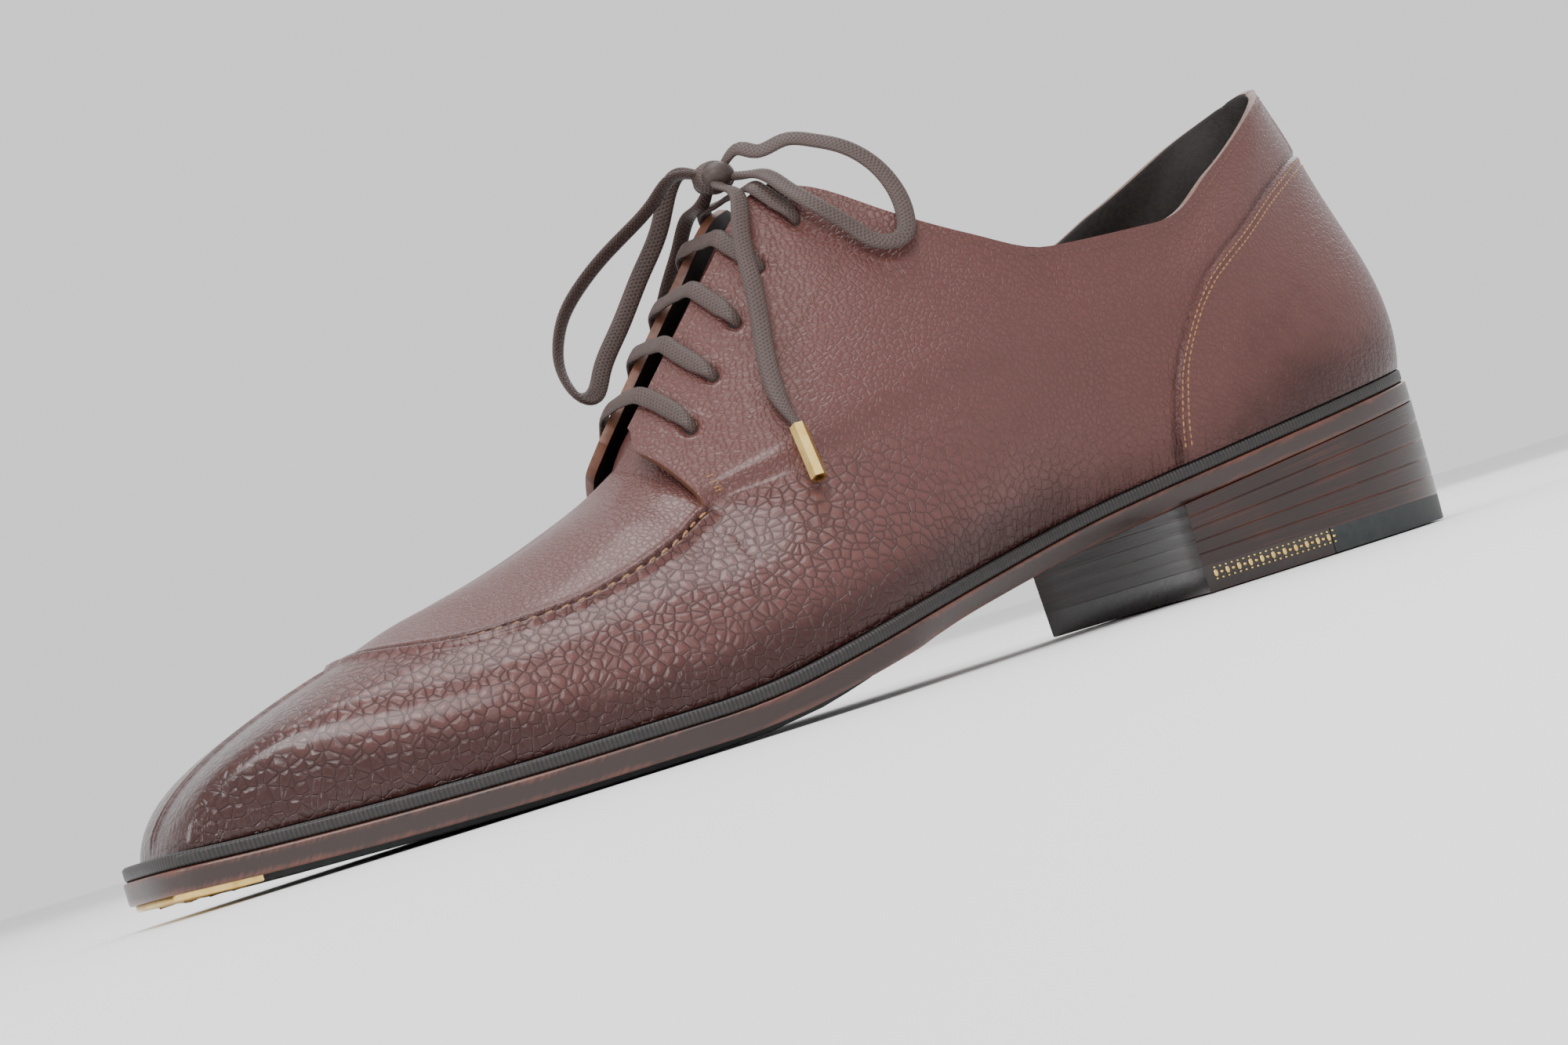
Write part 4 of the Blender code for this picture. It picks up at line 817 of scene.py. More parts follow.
@dataclass(frozen=True)
class RibbedRubber:
    """Dark rubber with fine slanting ribs, and bare lozenges where ribbed is set; painted highlight lightens
    the ribs' crests and painted shade darkens the groove round each lozenge.
    """

    colour: tuple = (0.014, 0.017, 0.017)
    ribbed: bool = True
    pitch: float = 0.0013
    cell: tuple = (0.046, 0.030)
    lozenge: tuple = (0.0085, 0.0042)

    def build(self, name: str = "ribbed_rubber") -> bpy.types.Material:
        """Makes the material."""
        bench = Bench(name)
        source = bench.place()
        x, y, _ = bench.axes(source)
        dust = bench.noise(source, 420.0, 5.0, 0.6)
        cloud = bench.noise(source, 30.0, 3.0)
        turn = 2 * math.pi / self.pitch
        ribs = (((x * 0.80 + y * 0.60) * turn).apply("SINE") * 0.5
                + ((x * 0.2 - y * 0.98) * turn).apply("SINE") * 0.25)
        rows = y * (1 / self.cell[1]) + 0.13
        row, cell_y = rows.apply("FLOOR"), rows.apply("FRACT") - 0.5
        cell_x = (x * (1 / self.cell[0]) + row * 0.5).apply("FRACT") - 0.5
        far = ((cell_x * (self.cell[0] / self.lozenge[0])).apply("ABSOLUTE")
               + (cell_y * (self.cell[1] / self.lozenge[1])).apply("ABSOLUTE"))
        pad = 1 - far.ramp(0.94, 1.0)
        rim = 1 - (far - 1.06).apply("ABSOLUTE").ramp(0.05, 0.12)
        strength = 1.0 if self.ribbed else 0.0
        relief = ribs * (1 - pad) * strength - rim * strength + dust * 0.25
        # Painted highlight: the ribs' crests, the high parts of their relief, are mixed lighter.
        tone = (dust * 0.6 + cloud * 0.5 + ribs * (1 - pad) * 0.40 * strength).ramp(0.25, 1.0)
        colour = bench.mix(tone, self.colour, (0.048, 0.054, 0.053))
        colour = bench.mix(pad * 0.35 * strength, colour, (0.020, 0.023, 0.023))
        # Painted shade: the groove round each lozenge is mixed near black.
        colour = bench.mix(rim * 0.9 * strength, colour, (0.0045, 0.0050, 0.0050))
        bench.set(Base_Color=colour, Roughness=0.46 + dust * 0.25, Specular_IOR_Level=0.4)
        bench.bump(relief, 0.00030)
        return bench.material


@dataclass(frozen=True)
class PolishedBrass:
    """Brass with a soft brushed wear."""

    colour: tuple = (0.86, 0.62, 0.22)

    def build(self, name: str = "polished_brass") -> bpy.types.Material:
        """Makes the material."""
        bench = Bench(name)
        source = bench.place()
        brush = bench.noise(bench.place("Object", (500.0, 3200.0, 500.0)), 1.0, 3.0)
        wear = bench.noise(source, 260.0, 4.0)
        bench.set(Base_Color=bench.mix(wear.ramp(0.4, 0.8), self.colour, (0.62, 0.40, 0.12)),
                  Roughness=0.20 + wear * 0.16 + brush * 0.06, Metallic=1.0)
        bench.bump(brush * 0.5 + wear * 0.5, 0.00004)
        return bench.material


@dataclass(frozen=True)
class WaxedLace:
    """Flat waxed cotton with a fine braid that follows the lace."""

    light: tuple = (0.074, 0.041, 0.034)
    dark: tuple = (0.026, 0.0130, 0.0100)
    pitch: float = 0.00095

    def build(self, name: str = "waxed_lace") -> bpy.types.Material:
        """Makes the material."""
        bench = Bench(name)
        along, around, _ = bench.axes(bench.place("UV"))
        turn = 2 * math.pi / self.pitch
        one = ((along + around) * turn).apply("SINE")
        two = ((along - around) * turn).apply("SINE")
        braid = one.larger(two)
        fuzz = bench.noise(bench.place(), 1700.0, 3.0)
        tone = (braid * 0.30 + fuzz * 0.8).ramp(0.15, 1.0)
        bench.set(Base_Color=bench.mix(tone, self.dark, self.light), Roughness=0.50 + fuzz * 0.2,
                  Coat_Weight=0.12, Coat_Roughness=0.35)
        bench.bump(braid * 0.6 + fuzz * 0.5, 0.00011)
        return bench.material


@dataclass(frozen=True)
class Thread:
    """Waxed thread, twisted."""

    colour: tuple = (0.380, 0.190, 0.060)
    dark: tuple = (0.120, 0.050, 0.017)

    def build(self, name: str) -> bpy.types.Material:
        """Makes the material."""
        bench = Bench(name)
        twist = bench.noise(bench.place("Object", (2400.0, 900.0, 2400.0)), 1.0, 3.0)
        bench.set(Base_Color=bench.mix(twist.ramp(0.3, 0.75), self.colour, self.dark),
                  Roughness=0.5, Coat_Weight=0.15, Coat_Roughness=0.4)
        bench.bump(twist, 0.00008)
        return bench.material


@dataclass
class Finishes:
    """One material of each finish, shared by the pieces."""

    leather: bpy.types.Material = field(default_factory=lambda: GrainLeather().build())
    lining: bpy.types.Material = field(default_factory=lambda: PlainLeather(
        (0.014, 0.011, 0.010), (0.030, 0.023, 0.020), 0.52).build("lining"))
    cut_edge: bpy.types.Material = field(default_factory=lambda: PlainLeather(
        (0.150, 0.056, 0.028), (0.066, 0.022, 0.012), 0.55, 700.0, 0.00010).build("cut_edge"))
    # Near-black painted shade, for the eyelet hollows, the screw slots and the tongue's cut edges.
    void: bpy.types.Material = field(default_factory=lambda: PlainLeather(
        (0.006, 0.005, 0.005), (0.012, 0.009, 0.008), 0.8, coat=0.0).build("painted_shade_dark"))
    welt: bpy.types.Material = field(default_factory=lambda: MilledWelt().build())
    sole_edge: bpy.types.Material = field(default_factory=lambda: SoleEdge().build())
    sole_bottom: bpy.types.Material = field(default_factory=lambda: SoleBottom().build())
    heel_leather: bpy.types.Material = field(default_factory=lambda: PlainLeather(
        (0.170, 0.084, 0.070), (0.080, 0.033, 0.026), 0.3, 700.0, 0.00008, 0.4).build("top_piece_leather"))
    dark_edge: bpy.types.Material = field(default_factory=lambda: PlainLeather(
        (0.0075, 0.0048, 0.0042), (0.022, 0.011, 0.009), 0.3, 700.0, 0.00006, 0.3).build("dark_edge"))
    stack: bpy.types.Material = field(default_factory=lambda: StackedLeather().build())
    rubber: bpy.types.Material = field(default_factory=lambda: RibbedRubber().build())
    plain_rubber: bpy.types.Material = field(
        default_factory=lambda: RibbedRubber(ribbed=False).build("plain_rubber"))
    brass: bpy.types.Material = field(default_factory=lambda: PolishedBrass().build())
    lace: bpy.types.Material = field(default_factory=lambda: WaxedLace().build())
    seam_thread: bpy.types.Material = field(default_factory=lambda: Thread().build("seam_thread"))
    edge_thread: bpy.types.Material = field(default_factory=lambda: Thread(
        (0.125, 0.046, 0.028), (0.050, 0.017, 0.011)).build("edge_thread"))


def mapped_grid(points: np.ndarray, uv: np.ndarray | None = None,
                values: dict[str, np.ndarray] | None = None) -> bmesh.types.BMesh:
    """A grid whose points are moved to their places.

    Args:
        points: one place for each point of the grid, rows by columns by three.
        uv: a flat place for each point, kept as the UV map.
        values: further numbers for each point, kept as attributes.

    Returns:
        The mesh, with points that fall together merged.
    """
    rows, columns = points.shape[:2]
    bm = bmesh.new()
    bmesh.ops.create_grid(bm, x_segments=rows - 1, y_segments=columns - 1, size=1.0)
    found = {}
    layers = {name: bm.verts.layers.float.new(name) for name in (values or {})}
    for vert in bm.verts:
        i = int(round((vert.co.x + 1) / 2 * (rows - 1)))
        j = int(round((vert.co.y + 1) / 2 * (columns - 1)))
        found[vert] = (i, j)
    for vert, (i, j) in found.items():
        vert.co = points[i, j]
        for name, layer in layers.items():
            vert[layer] = float(values[name][i, j])
    if uv is not None:
        layer = bm.loops.layers.uv.new("UVMap")
        for face in bm.faces:
            for corner in face.loops:
                corner[layer].uv = uv[found[corner.vert]]
    bmesh.ops.remove_doubles(bm, verts=bm.verts, dist=MERGE)
    return bm


def flat_places(points: np.ndarray, first: np.ndarray, second: np.ndarray) -> np.ndarray:
    """A flat place for each point of a grid, from two arrays that spread over it."""
    return np.stack([np.broadcast_to(value, points.shape[:2]) for value in (first, second)], axis=-1)


def walked_places(points: np.ndarray, row: int) -> np.ndarray:
    """Flat places by the distance walked along one row of a grid and across the grid."""
    return flat_places(points, lengths_along(points[:, row])[:, None],
                       lengths_along(points.transpose(1, 0, 2)).T)


def mesh_of(name: str, bm: bmesh.types.BMesh) -> bpy.types.Mesh:
    """Turns a bmesh into a mesh and frees it."""
    mesh = bpy.data.meshes.new(name)
    bm.to_mesh(mesh)
    bm.free()
    return mesh


def linked(name: str, data: bpy.types.ID) -> bpy.types.Object:
    """A new object of the scene."""
    made = bpy.data.objects.new(name, data)
    bpy.context.scene.collection.objects.link(made)
    return made


def egg(bm: bmesh.types.BMesh, segments: tuple[int, int], place: Matrix, half: Sequence[float],
        calc_uvs: bool = False) -> None:
    """Adds an egg shape to a bmesh.

    Args:
        bm: the bmesh.
        segments: faces round it and from pole to pole.
        place: where its middle goes and how it is turned.
        half: its three half sizes.
        calc_uvs: whether it gets a UV map.
    """
    bmesh.ops.create_uvsphere(bm, u_segments=segments[0], v_segments=segments[1], radius=1.0,
                              calc_uvs=calc_uvs, matrix=place @ Matrix.Diagonal((*half, 1.0)))


def facing_out(way: Vector) -> Matrix:
    """A turn that brings Z to a direction."""
    return way.to_track_quat("Z", "Y").to_matrix().to_4x4()


def redress(node: Piece, material: bpy.types.Material) -> None:
    """Gives a CAD node that stays a single finish."""
    node.data.materials.clear()
    node.data.materials.append(material)


def thicken(piece: Piece, wall: float) -> None:
    """Gives a skin its wall, with the second finish inside and the third on the edges."""
    solid = piece.modifiers.new("wall", "SOLIDIFY")
    solid.thickness, solid.offset = wall - SKIN, -1.0
    solid.material_offset, solid.material_offset_rim = 1, 2


def finish_piece(name: str, bm: bmesh.types.BMesh, materials: Sequence[bpy.types.Material], slot: Slot,
                 nodes: Sequence[str] = (), sharp: float = 50.0, closed: bool = True) -> Piece:
    """Turns a bmesh into a piece that rides on the shoe.

    Args:
        name: the piece's name.
        bm: its mesh, which is freed.
        materials: its materials, in the order of its faces' numbers.
        slot: not used.
        nodes: CAD nodes that it stands for.
        sharp: edges sharper than this many degrees stay sharp.
        closed: whether the normals can be worked out from the closed shape.

    Returns:
        The object.
    """
    if closed:
        bmesh.ops.recalc_face_normals(bm, faces=bm.faces)
        if bm.calc_volume(signed=True) < 0:
            bmesh.ops.reverse_faces(bm, faces=bm.faces)
    mesh = mesh_of(name, bm)
    mesh.shade_smooth()
    mesh.set_sharp_from_angle(angle=math.radians(sharp))
    for material in materials:
        mesh.materials.append(material)
    piece = linked(name, mesh)
    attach(piece, "root")
    if nodes:
        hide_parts(*nodes)
    LOG.info("%s: %d faces", name, len(mesh.polygons))
    return piece


@dataclass
class Ribbon:
    """A flat lace swept along a route."""

    width: float = 0.0046
    thickness: float = 0.0016
    sides: int = 12

    def mesh(self, path: np.ndarray, wide: np.ndarray, taper: Callable[[float], tuple[float, float]]
             ) -> bmesh.types.BMesh:
        """Sweeps the lace.

        Args:
            path: points of its middle line.
            wide: direction of its width at each point.
            taper: shares of width and thickness at a share of the length.

        Returns:
            The closed mesh.
        """
        ways = unit(np.gradient(path, axis=0))
        wide = unit(wide - ways * (wide * ways).sum(axis=1, keepdims=True))
        thick = np.cross(wide, ways)
        angles = np.linspace(0.0, 2 * math.pi, self.sides + 1)
        walked = lengths_along(path)
        shares = walked / walked[-1]
        section = np.array([(np.sign(math.cos(a)) * abs(math.cos(a)) ** 0.75,
                             np.sign(math.sin(a)) * abs(math.sin(a)) ** 0.75) for a in angles])
        rings = []
        for i, share in enumerate(shares):
            w, t = taper(float(share))
            rings.append(path[i] + np.outer(section[:, 0], wide[i]) * w * self.width / 2
                         + np.outer(section[:, 1], thick[i]) * t * self.thickness / 2)
        caps = [np.repeat(end, len(angles), axis=0) for end in (path[:1], path[-1:])]
        rings = np.array([caps[0]] + rings + [caps[1]])
        girth = (self.width + self.thickness) * 1.7
        along = np.concatenate(([walked[0]], walked, [walked[-1]]))[:, None]
        return mapped_grid(rings, flat_places(rings, along, angles[None, :] / (2 * math.pi) * girth))

    @staticmethod
    def carried(path: np.ndarray, first: Sequence[float], twist: float = 0.0) -> np.ndarray:
        """Width directions carried along a path without needless turning.

        Args:
            path: points of the middle line.
            first: the direction at the start.
            twist: turn from one end to the other, in degrees.

        Returns:
            One direction a point.
        """
        ways = unit(np.gradient(path, axis=0))
        wide = np.asarray(first, float)
        found = []
        for i, way in enumerate(ways):
            wide = unit(wide - way * float(wide @ way))
            turn = Matrix.Rotation(math.radians(twist) * i / (len(ways) - 1), 3, Vector(way))
            found.append(np.array(turn @ Vector(wide)))
        return np.array(found)


@dataclass
class Bow:
    """Knot, two loops and two tipped ends of the lace."""

    last: Last
    finishes: Finishes
    ribbon: Ribbon = field(default_factory=lambda: Ribbon(0.0040, 0.00115))
    round_cord: float = 0.0027
    leave: float = 0.22
    half: tuple[float, float, float] = (0.00425, 0.0060, 0.0039)
    wide: dict[str, tuple] = field(default_factory=lambda: {
        "loop_lateral": ((0.35, 0.55, 0.75), 20.0), "loop_medial": ((0.25, 0.93, -0.25), 25.0),
        "end_lateral": ((0.94, -0.10, -0.30), 35.0), "end_medial": ((0.94, 0.10, -0.30), -35.0)})

    def route(self, name: str, middle: np.ndarray) -> np.ndarray:
        """Middle line of a strand, which leaves the knot square to its skin."""
        ends = []
        for direction in LEAVES[name]:
            direction = unit(np.array(direction))
            reach = 1 / np.linalg.norm(direction / np.array(self.half))
            ends.append([direction * reach * 0.55,
                         direction * (reach + self.last.sizes.gap + self.round_cord * (self.leave + 1))])
        points = ends[0] + [np.array(point) for point in ROUTES[name]]
        for far in ends[1:]:
            points += far[::-1]
        return smooth_route([middle + point for point in points], 0.0011)

    def strand(self, name: str, middle: np.ndarray, tip: Piece | None) -> Piece:
        """One loop or end of the lace."""
        path = self.route(name, middle)
        first, twist = self.wide[name]
        wide = self.ribbon.carried(path, first, twist)
        length = float(lengths_along(path)[-1])

        def taper(share: float) -> tuple[float, float]:
            """Narrow where the strand leaves the knot and where a tip grips it."""
            start = float(smooth_step(share * length, 0.0, 0.007))
            width, thickness = 0.62 + 0.38 * start, 1.15 - 0.15 * start
            end = float(smooth_step((1 - share) * length, 0.0005, 0.010))
            low = 0.52 if tip else 0.62
            return width * (low + (1 - low) * end), thickness * (1.45 - 0.45 * end)

        bm = self.ribbon.mesh(path, wide, taper)
        piece = finish_piece("bow_" + name, bm, [self.finishes.lace], Slot.LACE, ["lace_" + name])
        LOG.info("%s is %.0f mm long", name, length * 1000)
        return piece

    def knot(self, middle: np.ndarray) -> Piece:
        """The knot: a rounded core, the turn of lace round it and the folds at both sides."""
        bm = bmesh.new()
        x, y, z = self.half
        egg(bm, (28, 18), Matrix(), (x * 0.80, y * 0.94, z * 0.66), True)
        for side in (-1, 1):
            place = Matrix.Translation((0.0004 * side, side * y * 0.52, -0.0002))
            egg(bm, (20, 14), place @ Matrix.Rotation(math.radians(18 * side), 4, "X"),
                (x * 0.86, y * 0.46, z * 0.72), True)
        angles = np.linspace(0.0, 2 * math.pi, 49)
        turn = np.array([(math.cos(a) * x * 0.82, 0.0009 * math.sin(a), math.sin(a) * z * 0.72)
                         for a in angles])
        section = np.linspace(0.0, 2 * math.pi, 13)
        outward = unit(turn * np.array([1.0, 0.0, 1.0]))
        band = np.array([[p + o * 0.00085 * np.sign(math.sin(s)) * abs(math.sin(s)) ** 0.7
                          + np.array([0.0, 0.0024, 0.0]) * math.cos(s) for s in section]
                         for p, o in zip(turn, outward)])
        wrap = mapped_grid(band, flat_places(band, angles[:, None] * 0.004, section[None, :] * 0.0011))
        bmesh.ops.recalc_face_normals(wrap, faces=wrap.faces)
        mesh = mesh_of("wrap", wrap)
        bm.from_mesh(mesh)
        bpy.data.meshes.remove(mesh)
        bmesh.ops.translate(bm, verts=bm.verts, vec=Vector(middle))
        return finish_piece("bow_knot", bm, [self.finishes.lace], Slot.LACE, ["lace_knot"], closed=False)

    def build(self, nodes: dict[str, Piece]) -> None:
        """Makes the whole bow about the middle of its CAD knot."""
        middle = np.mean(np.array(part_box("lace_knot")), axis=0)
        self.knot(middle)
        for name in ROUTES:
            tip = nodes[name.replace("end", "aglet")] if name.startswith("end") else None
            self.strand(name, middle, tip)
        for name in ("aglet_lateral", "aglet_medial"):
            redress(nodes[name], self.finishes.brass)


@dataclass
class LaceBars:
    """Five flat bars of lace that cross the throat between eyelet holes, whose hollows are painted shade."""

    last: Last
    finishes: Finishes
    ribbon: Ribbon = field(default_factory=lambda: Ribbon(0.0040, 0.00120))
    inset: float = 0.0152
    gap: float = 0.0006
    crown_rise: float = 0.0008
    dips: tuple = ((0.0005, -0.0030), (0.0006, -0.0014), (0.0002, 0.0001))
    sway: float = 0.00055
    hole: tuple = (0.0017, 0.0017, 0.00042)

    def line(self, rib: float, inset: float) -> np.ndarray:
        """Middle line of a bar, with both ends dipping into their holes."""
        lift = self.gap + self.ribbon.thickness / 2
        halves = []
        for side in Side:
            half = [self.last.facing_place(rib, side, inset + beyond, depth) for beyond, depth in self.dips]
            half += [self.last.facing_place(rib, side, share * inset, lift)
                     for share in (0.86, 0.6, 0.4, 0.2, 0.0)]
            halves.append(half)
        start, end = halves[0][-1], halves[1][-1]
        crown = [start * (1 - t) + end * t + np.array([0.0, 0.0, self.crown_rise * 4 * t * (1 - t)])
                 for t in (0.25, 0.5, 0.75)]
        return smooth_route(halves[0] + crown + halves[1][::-1], 0.0008)

    def bar(self, number: int) -> Piece:
        """One bar."""
        rib, share = EYELETS[number]
        path = self.line(rib, share * self.inset)
        edges = (self.last.facing_track.at(rib + 0.05) - self.last.facing_track.at(rib - 0.05))[[0, 3]]
        up_throat = unit(np.array([edges[0], 0.0, edges[1]]))
        wide = np.repeat(up_throat[None, :], len(path), axis=0)
        middle = np.linspace(-1.0, 1.0, len(path))
        sway = self.sway * np.sin(middle * math.pi) * (1 if number % 2 else -1)
        path = path + up_throat * sway[:, None]

        def taper(place: float) -> tuple[float, float]:
            """Pinched where the lace goes through the holes."""
            end = float(smooth_step(min(place, 1 - place), 0.02, 0.17))
            return 0.52 + 0.48 * end, 1.35 - 0.35 * end

        bm = self.ribbon.mesh(self.last.place(path), wide, taper)
        return finish_piece(f"lace_ribbon_{number + 1}", bm, [self.finishes.lace], Slot.LACE,
                            [f"lace_bar_{number + 1}"])

    def holes(self) -> Piece:
        """Painted shade in all the eyelets: a near-black egg sunk in each hollow."""
        bm = bmesh.new()
        for rib, share in EYELETS:
            for side in Side:
                low = self.last.place(self.last.facing_place(rib, side, share * self.inset, -0.00080))
                high = self.last.place(self.last.facing_place(rib, side, share * self.inset, 0.0))
                # Each near-black egg is painted shade for the inside of a hole.
                egg(bm, (16, 8), Matrix.Translation(low) @ facing_out(Vector(high - low)), self.hole)
        return finish_piece("eyelet_hole_shade", bm, [self.finishes.void], Slot.LINING, closed=False)

    def build(self) -> None:
        """Makes the painted shade of the holes, and the bars."""
        self.holes()
        for number in range(len(EYELETS)):
            self.bar(number)


@dataclass
class Upper:
    """The lasted upper: one skin with apron seam, facings, quarters and counter, and its stitches."""

    last: Last
    finishes: Finishes
    counter_rib: float = 2.446
    counter_corner: float = 0.017
    inset: float = 0.0152
    apron_relief: tuple = ((0.00085, -0.0014, 0.0010), (-0.00062, 0.0, 0.00048), (0.00042, 0.0013, 0.0009))
    toe_relief: tuple = ((0.00042, 0.0011, 0.00065), (-0.00030, 0.0, 0.0004))
    eyelet_relief: tuple = ((0.00115, 0.0, 0.0017), (-0.00030, 0.0030, 0.0010))
    counter_groove: tuple = ((0.00022, 0.0019, 0.00035),)
    tab_height: float = 0.00055
    rounded_edge: float = 0.00045
    facing_row: tuple = (
        (0.1749, -0.0236, 0.0926), (0.1625, -0.0247, 0.0826), (0.1504, -0.0257, 0.0726),
        (0.1422, -0.0274, 0.0649), (0.1398, -0.0290, 0.0609), (0.1428, -0.0351, 0.0507),
        (0.1443, -0.0375, 0.0461))
    second_row: tuple = (0.0016, 0.0, 0.0008)
    tack: tuple = ((0.1257, 0.0284, 0.0480), (0.1262, 0.0284 - 0.0036, 0.0505))
    collar_ribs: tuple = (2.03, 2.08, 2.14, 2.20, 2.28, 2.36, 2.45, 2.55, 2.65, 2.75, 2.85, 2.95)

    def stations(self) -> list[tuple[float, Side, bool]]:
        """Columns of the skin, round from the back over the lateral side, the toe and the medial side.

        Returns:
            For each column its rib, its side, and whether it is on the facing side of the throat.
        """
        vamp = np.concatenate((np.linspace(0.0, 0.05, 11)[:-1], np.linspace(0.05, 1.0, 84)))
        rest = np.concatenate((np.linspace(1.0, 2.0, 60)[:-1], np.linspace(2.0, 2.425, 26)[:-1],
                               np.linspace(2.425, 2.467, 13)[:-1], np.linspace(2.467, 3.0, 46)))
        return ([(r, Side.LATERAL, True) for r in rest[::-1]] + [(r, Side.LATERAL, False) for r in vamp[::-1]]
                + [(r, Side.MEDIAL, False) for r in vamp[1:]] + [(r, Side.MEDIAL, True) for r in rest])

    @staticmethod
    def rows() -> np.ndarray:
        """Rows of the skin, close together along the seam."""
        return np.concatenate((np.linspace(0.0, 0.86, 21)[:-1], np.linspace(0.86, 1.10, 25)[:-1],
                               np.linspace(1.10, 2.0, 24)))

    def surface(self) -> None:
        """Works out the skin's points, directions and relief."""
        last, rows, stations = self.last, self.rows(), self.stations()
        points, signed, spans = [], [], []
        weights = last.weights(rows)
        for rib, side, facing in stations:
            base = last.controls(rib, side, facing)
            line = weights @ base
            # The lower corner of each facing is rounded: its first ribs lean back near the throat's edge.
            shift = 0.075 * smooth_step(rows, 1.72, 2.0) ** 2 * (1 - smooth_step(rib, 1.0, 1.35))
            if facing and float(shift.max()) > 1e-6:
                line = np.array([w @ (last.controls(rib + s, side, True) if s > 1e-6 else base)
                                 for w, s in zip(weights, shift)])
            points.append(line)
            signed.append(rib * side.value)
            spans.append((np.linalg.norm(base[3] - base[0]), np.linalg.norm(base[6] - base[3])))
        points = np.array(points)
        self.signed, self.facing = np.array(signed), np.array([s[2] for s in stations])
        rib = np.abs(self.signed)[:, None] + 0.0 * rows[None, :]
        row = rows[None, :] + 0.0 * rib
        spans = np.array(spans)
        away = np.where(row <= 1.0, (row - 1.0) * spans[:, :1], (row - 1.0) * spans[:, 1:])
        # Directions: the two slopes of the grid, split where the facing parts from the vamp.
        along = np.zeros_like(points)
        breaks = [0] + list(np.nonzero(np.diff(self.facing.astype(int)))[0] + 1) + [len(points)]
        for start, end in zip(breaks, breaks[1:]):
            along[start:end] = np.gradient(points[start:end], axis=0)
        for edge in breaks[1:-1]:
            joined = points[edge + 1] - points[edge - 2]
            low = rows <= 1.0
            along[edge - 1][low], along[edge][low] = joined[low], joined[low]
        along[0] = along[-1] = points[1] - points[-2]
        up = np.gradient(points, axis=1)
        normal = unit(np.cross(along, up))
        if normal[np.argmin(np.abs(self.signed - 0.6)), len(rows) // 2, 2] < 0:
            normal = -normal
        crest = ~self.facing
        mirrored = normal[::-1]
        normal[crest, -1] = unit(normal[crest, -1] + mirrored[crest, -1])
        normal[[0, -1]] = unit(normal[0] + normal[-1])[None]
        normal[:, 0, 2] = 0.0
        normal[:, 0] = unit(normal[:, 0])
        self.base, self.normal = points, normal
        self.rib, self.row, self.away, self.spans = rib, row, away, spans

    def eyelet_places(self) -> list[np.ndarray]:
        """Where the eyelets are on the facings."""
        return [self.last.facing_place(rib, side, share * self.inset, 0.0)
                for rib, share in EYELETS for side in Side]

    def counter_depth(self) -> np.ndarray:
        """How far inside the counter's rounded edge each point lies, in metres."""
        at_row = self.base[:, len(self.rows()) // 4]
        walked = lengths_along(at_row)
        half = walked[-1] / 2
        from_back = half - np.abs(walked - half)
        edge = [from_back[np.argmin(np.abs(self.signed - side.value * self.counter_rib))] for side in Side]
        along = np.where(self.signed < 0, edge[0], edge[1]) - from_back
        self.along_counter, self.from_back = along, from_back
        upward = -self.away
        corner = self.counter_corner
        q_1, q_2 = np.maximum(corner - along[:, None], 0.0), np.maximum(corner - upward, 0.0)
        inside = corner - np.hypot(q_1, q_2)
        deep = np.minimum(along[:, None] + 0.0 * upward, upward)
        return np.where((q_1 > 0) & (q_2 > 0), inside, deep)

    def relief(self) -> np.ndarray:
        """Height of seams, steps and pinched eyelets above the lasted surface."""
        step = self.last.sizes
        away, rib, row = self.away, self.rib, self.row
        vamp = 1 - smooth_step(rib, 0.99, 1.03)
        self.apron = vamp * hump(away, 0.0060)
        height = vamp * humps(away, self.apron_relief)
        toe_x = lengths_along(self.base) - lengths_along(self.base)[np.argmin(np.abs(self.signed))][None]
        split = (1 - smooth_step(row, 0.90, 0.985)) * smooth_step(row, 0.01, 0.10)
        height += split * humps(np.abs(toe_x), self.toe_relief)
        flap = (rib >= 1.0) & self.facing[:, None]
        fade = 1 - smooth_step(rib, 2.0, 2.2)
        height += np.where(flap & (row > 1.0), step.facing_step * smooth_step((row - 1.0) / 0.14) * fade, 0.0)
        self.counter = self.counter_depth()
        height += step.counter_step * smooth_step(self.counter, -0.0001, 0.0005)
        height -= humps(self.counter, self.counter_groove)
        tab = 1 - smooth_step(self.from_back[:, None] - 0.0015 * (row - 1.0), 0.0118, 0.0124)
        height += self.tab_height * tab * smooth_step(away, 0.0002, 0.0012) * (rib > 2.5)
        for place in self.eyelet_places():
            near = np.linalg.norm(self.base + self.normal * step.facing_step - place, axis=2)
            height -= humps(near, self.eyelet_relief)
        return height

    def values(self) -> dict[str, np.ndarray]:
        """Numbers for the leather: burnish, coarse grain, nearness to the welt, seam and gloss."""
        rise = self.row * self.spans[:, :1]
        along = self.base[:, :, 0]
        fore = 1 - smooth_step(along, 0.150, 0.235)
        toe = 1 - smooth_step(along, 0.012, 0.060)
        low = hump(rise, 0.0055) * (self.row < 1.0)
        burnish = (0.85 * hump(rise, 0.0095) * (0.45 + 0.55 * fore) + 0.50 * toe
                   + 0.55 * hump(self.away + 0.0002, 0.0016) * (self.rib < 1.02)
                   + 0.32 * hump(rise, 0.030) * smooth_step(along, 0.235, 0.262)
                   + 0.35 * hump(self.counter + 0.0006, 0.0012))
        coarse = np.clip((1 - smooth_step(self.away, -0.004, 0.004)) * (1 - smooth_step(along, 0.120, 0.205))
                         + 0.65 * hump(rise, 0.016) * (1 - smooth_step(along, 0.190, 0.245)), 0.0, 1.0)
        gloss = np.clip(0.9 * toe + 0.45 * fore + 0.35 * smooth_step(along, 0.24, 0.29), 0.0, 1.0)
        return {"burnish": np.clip(burnish, 0.0, 1.0), "coarse": coarse, "low": low, "apron": self.apron,
                "gloss": gloss}

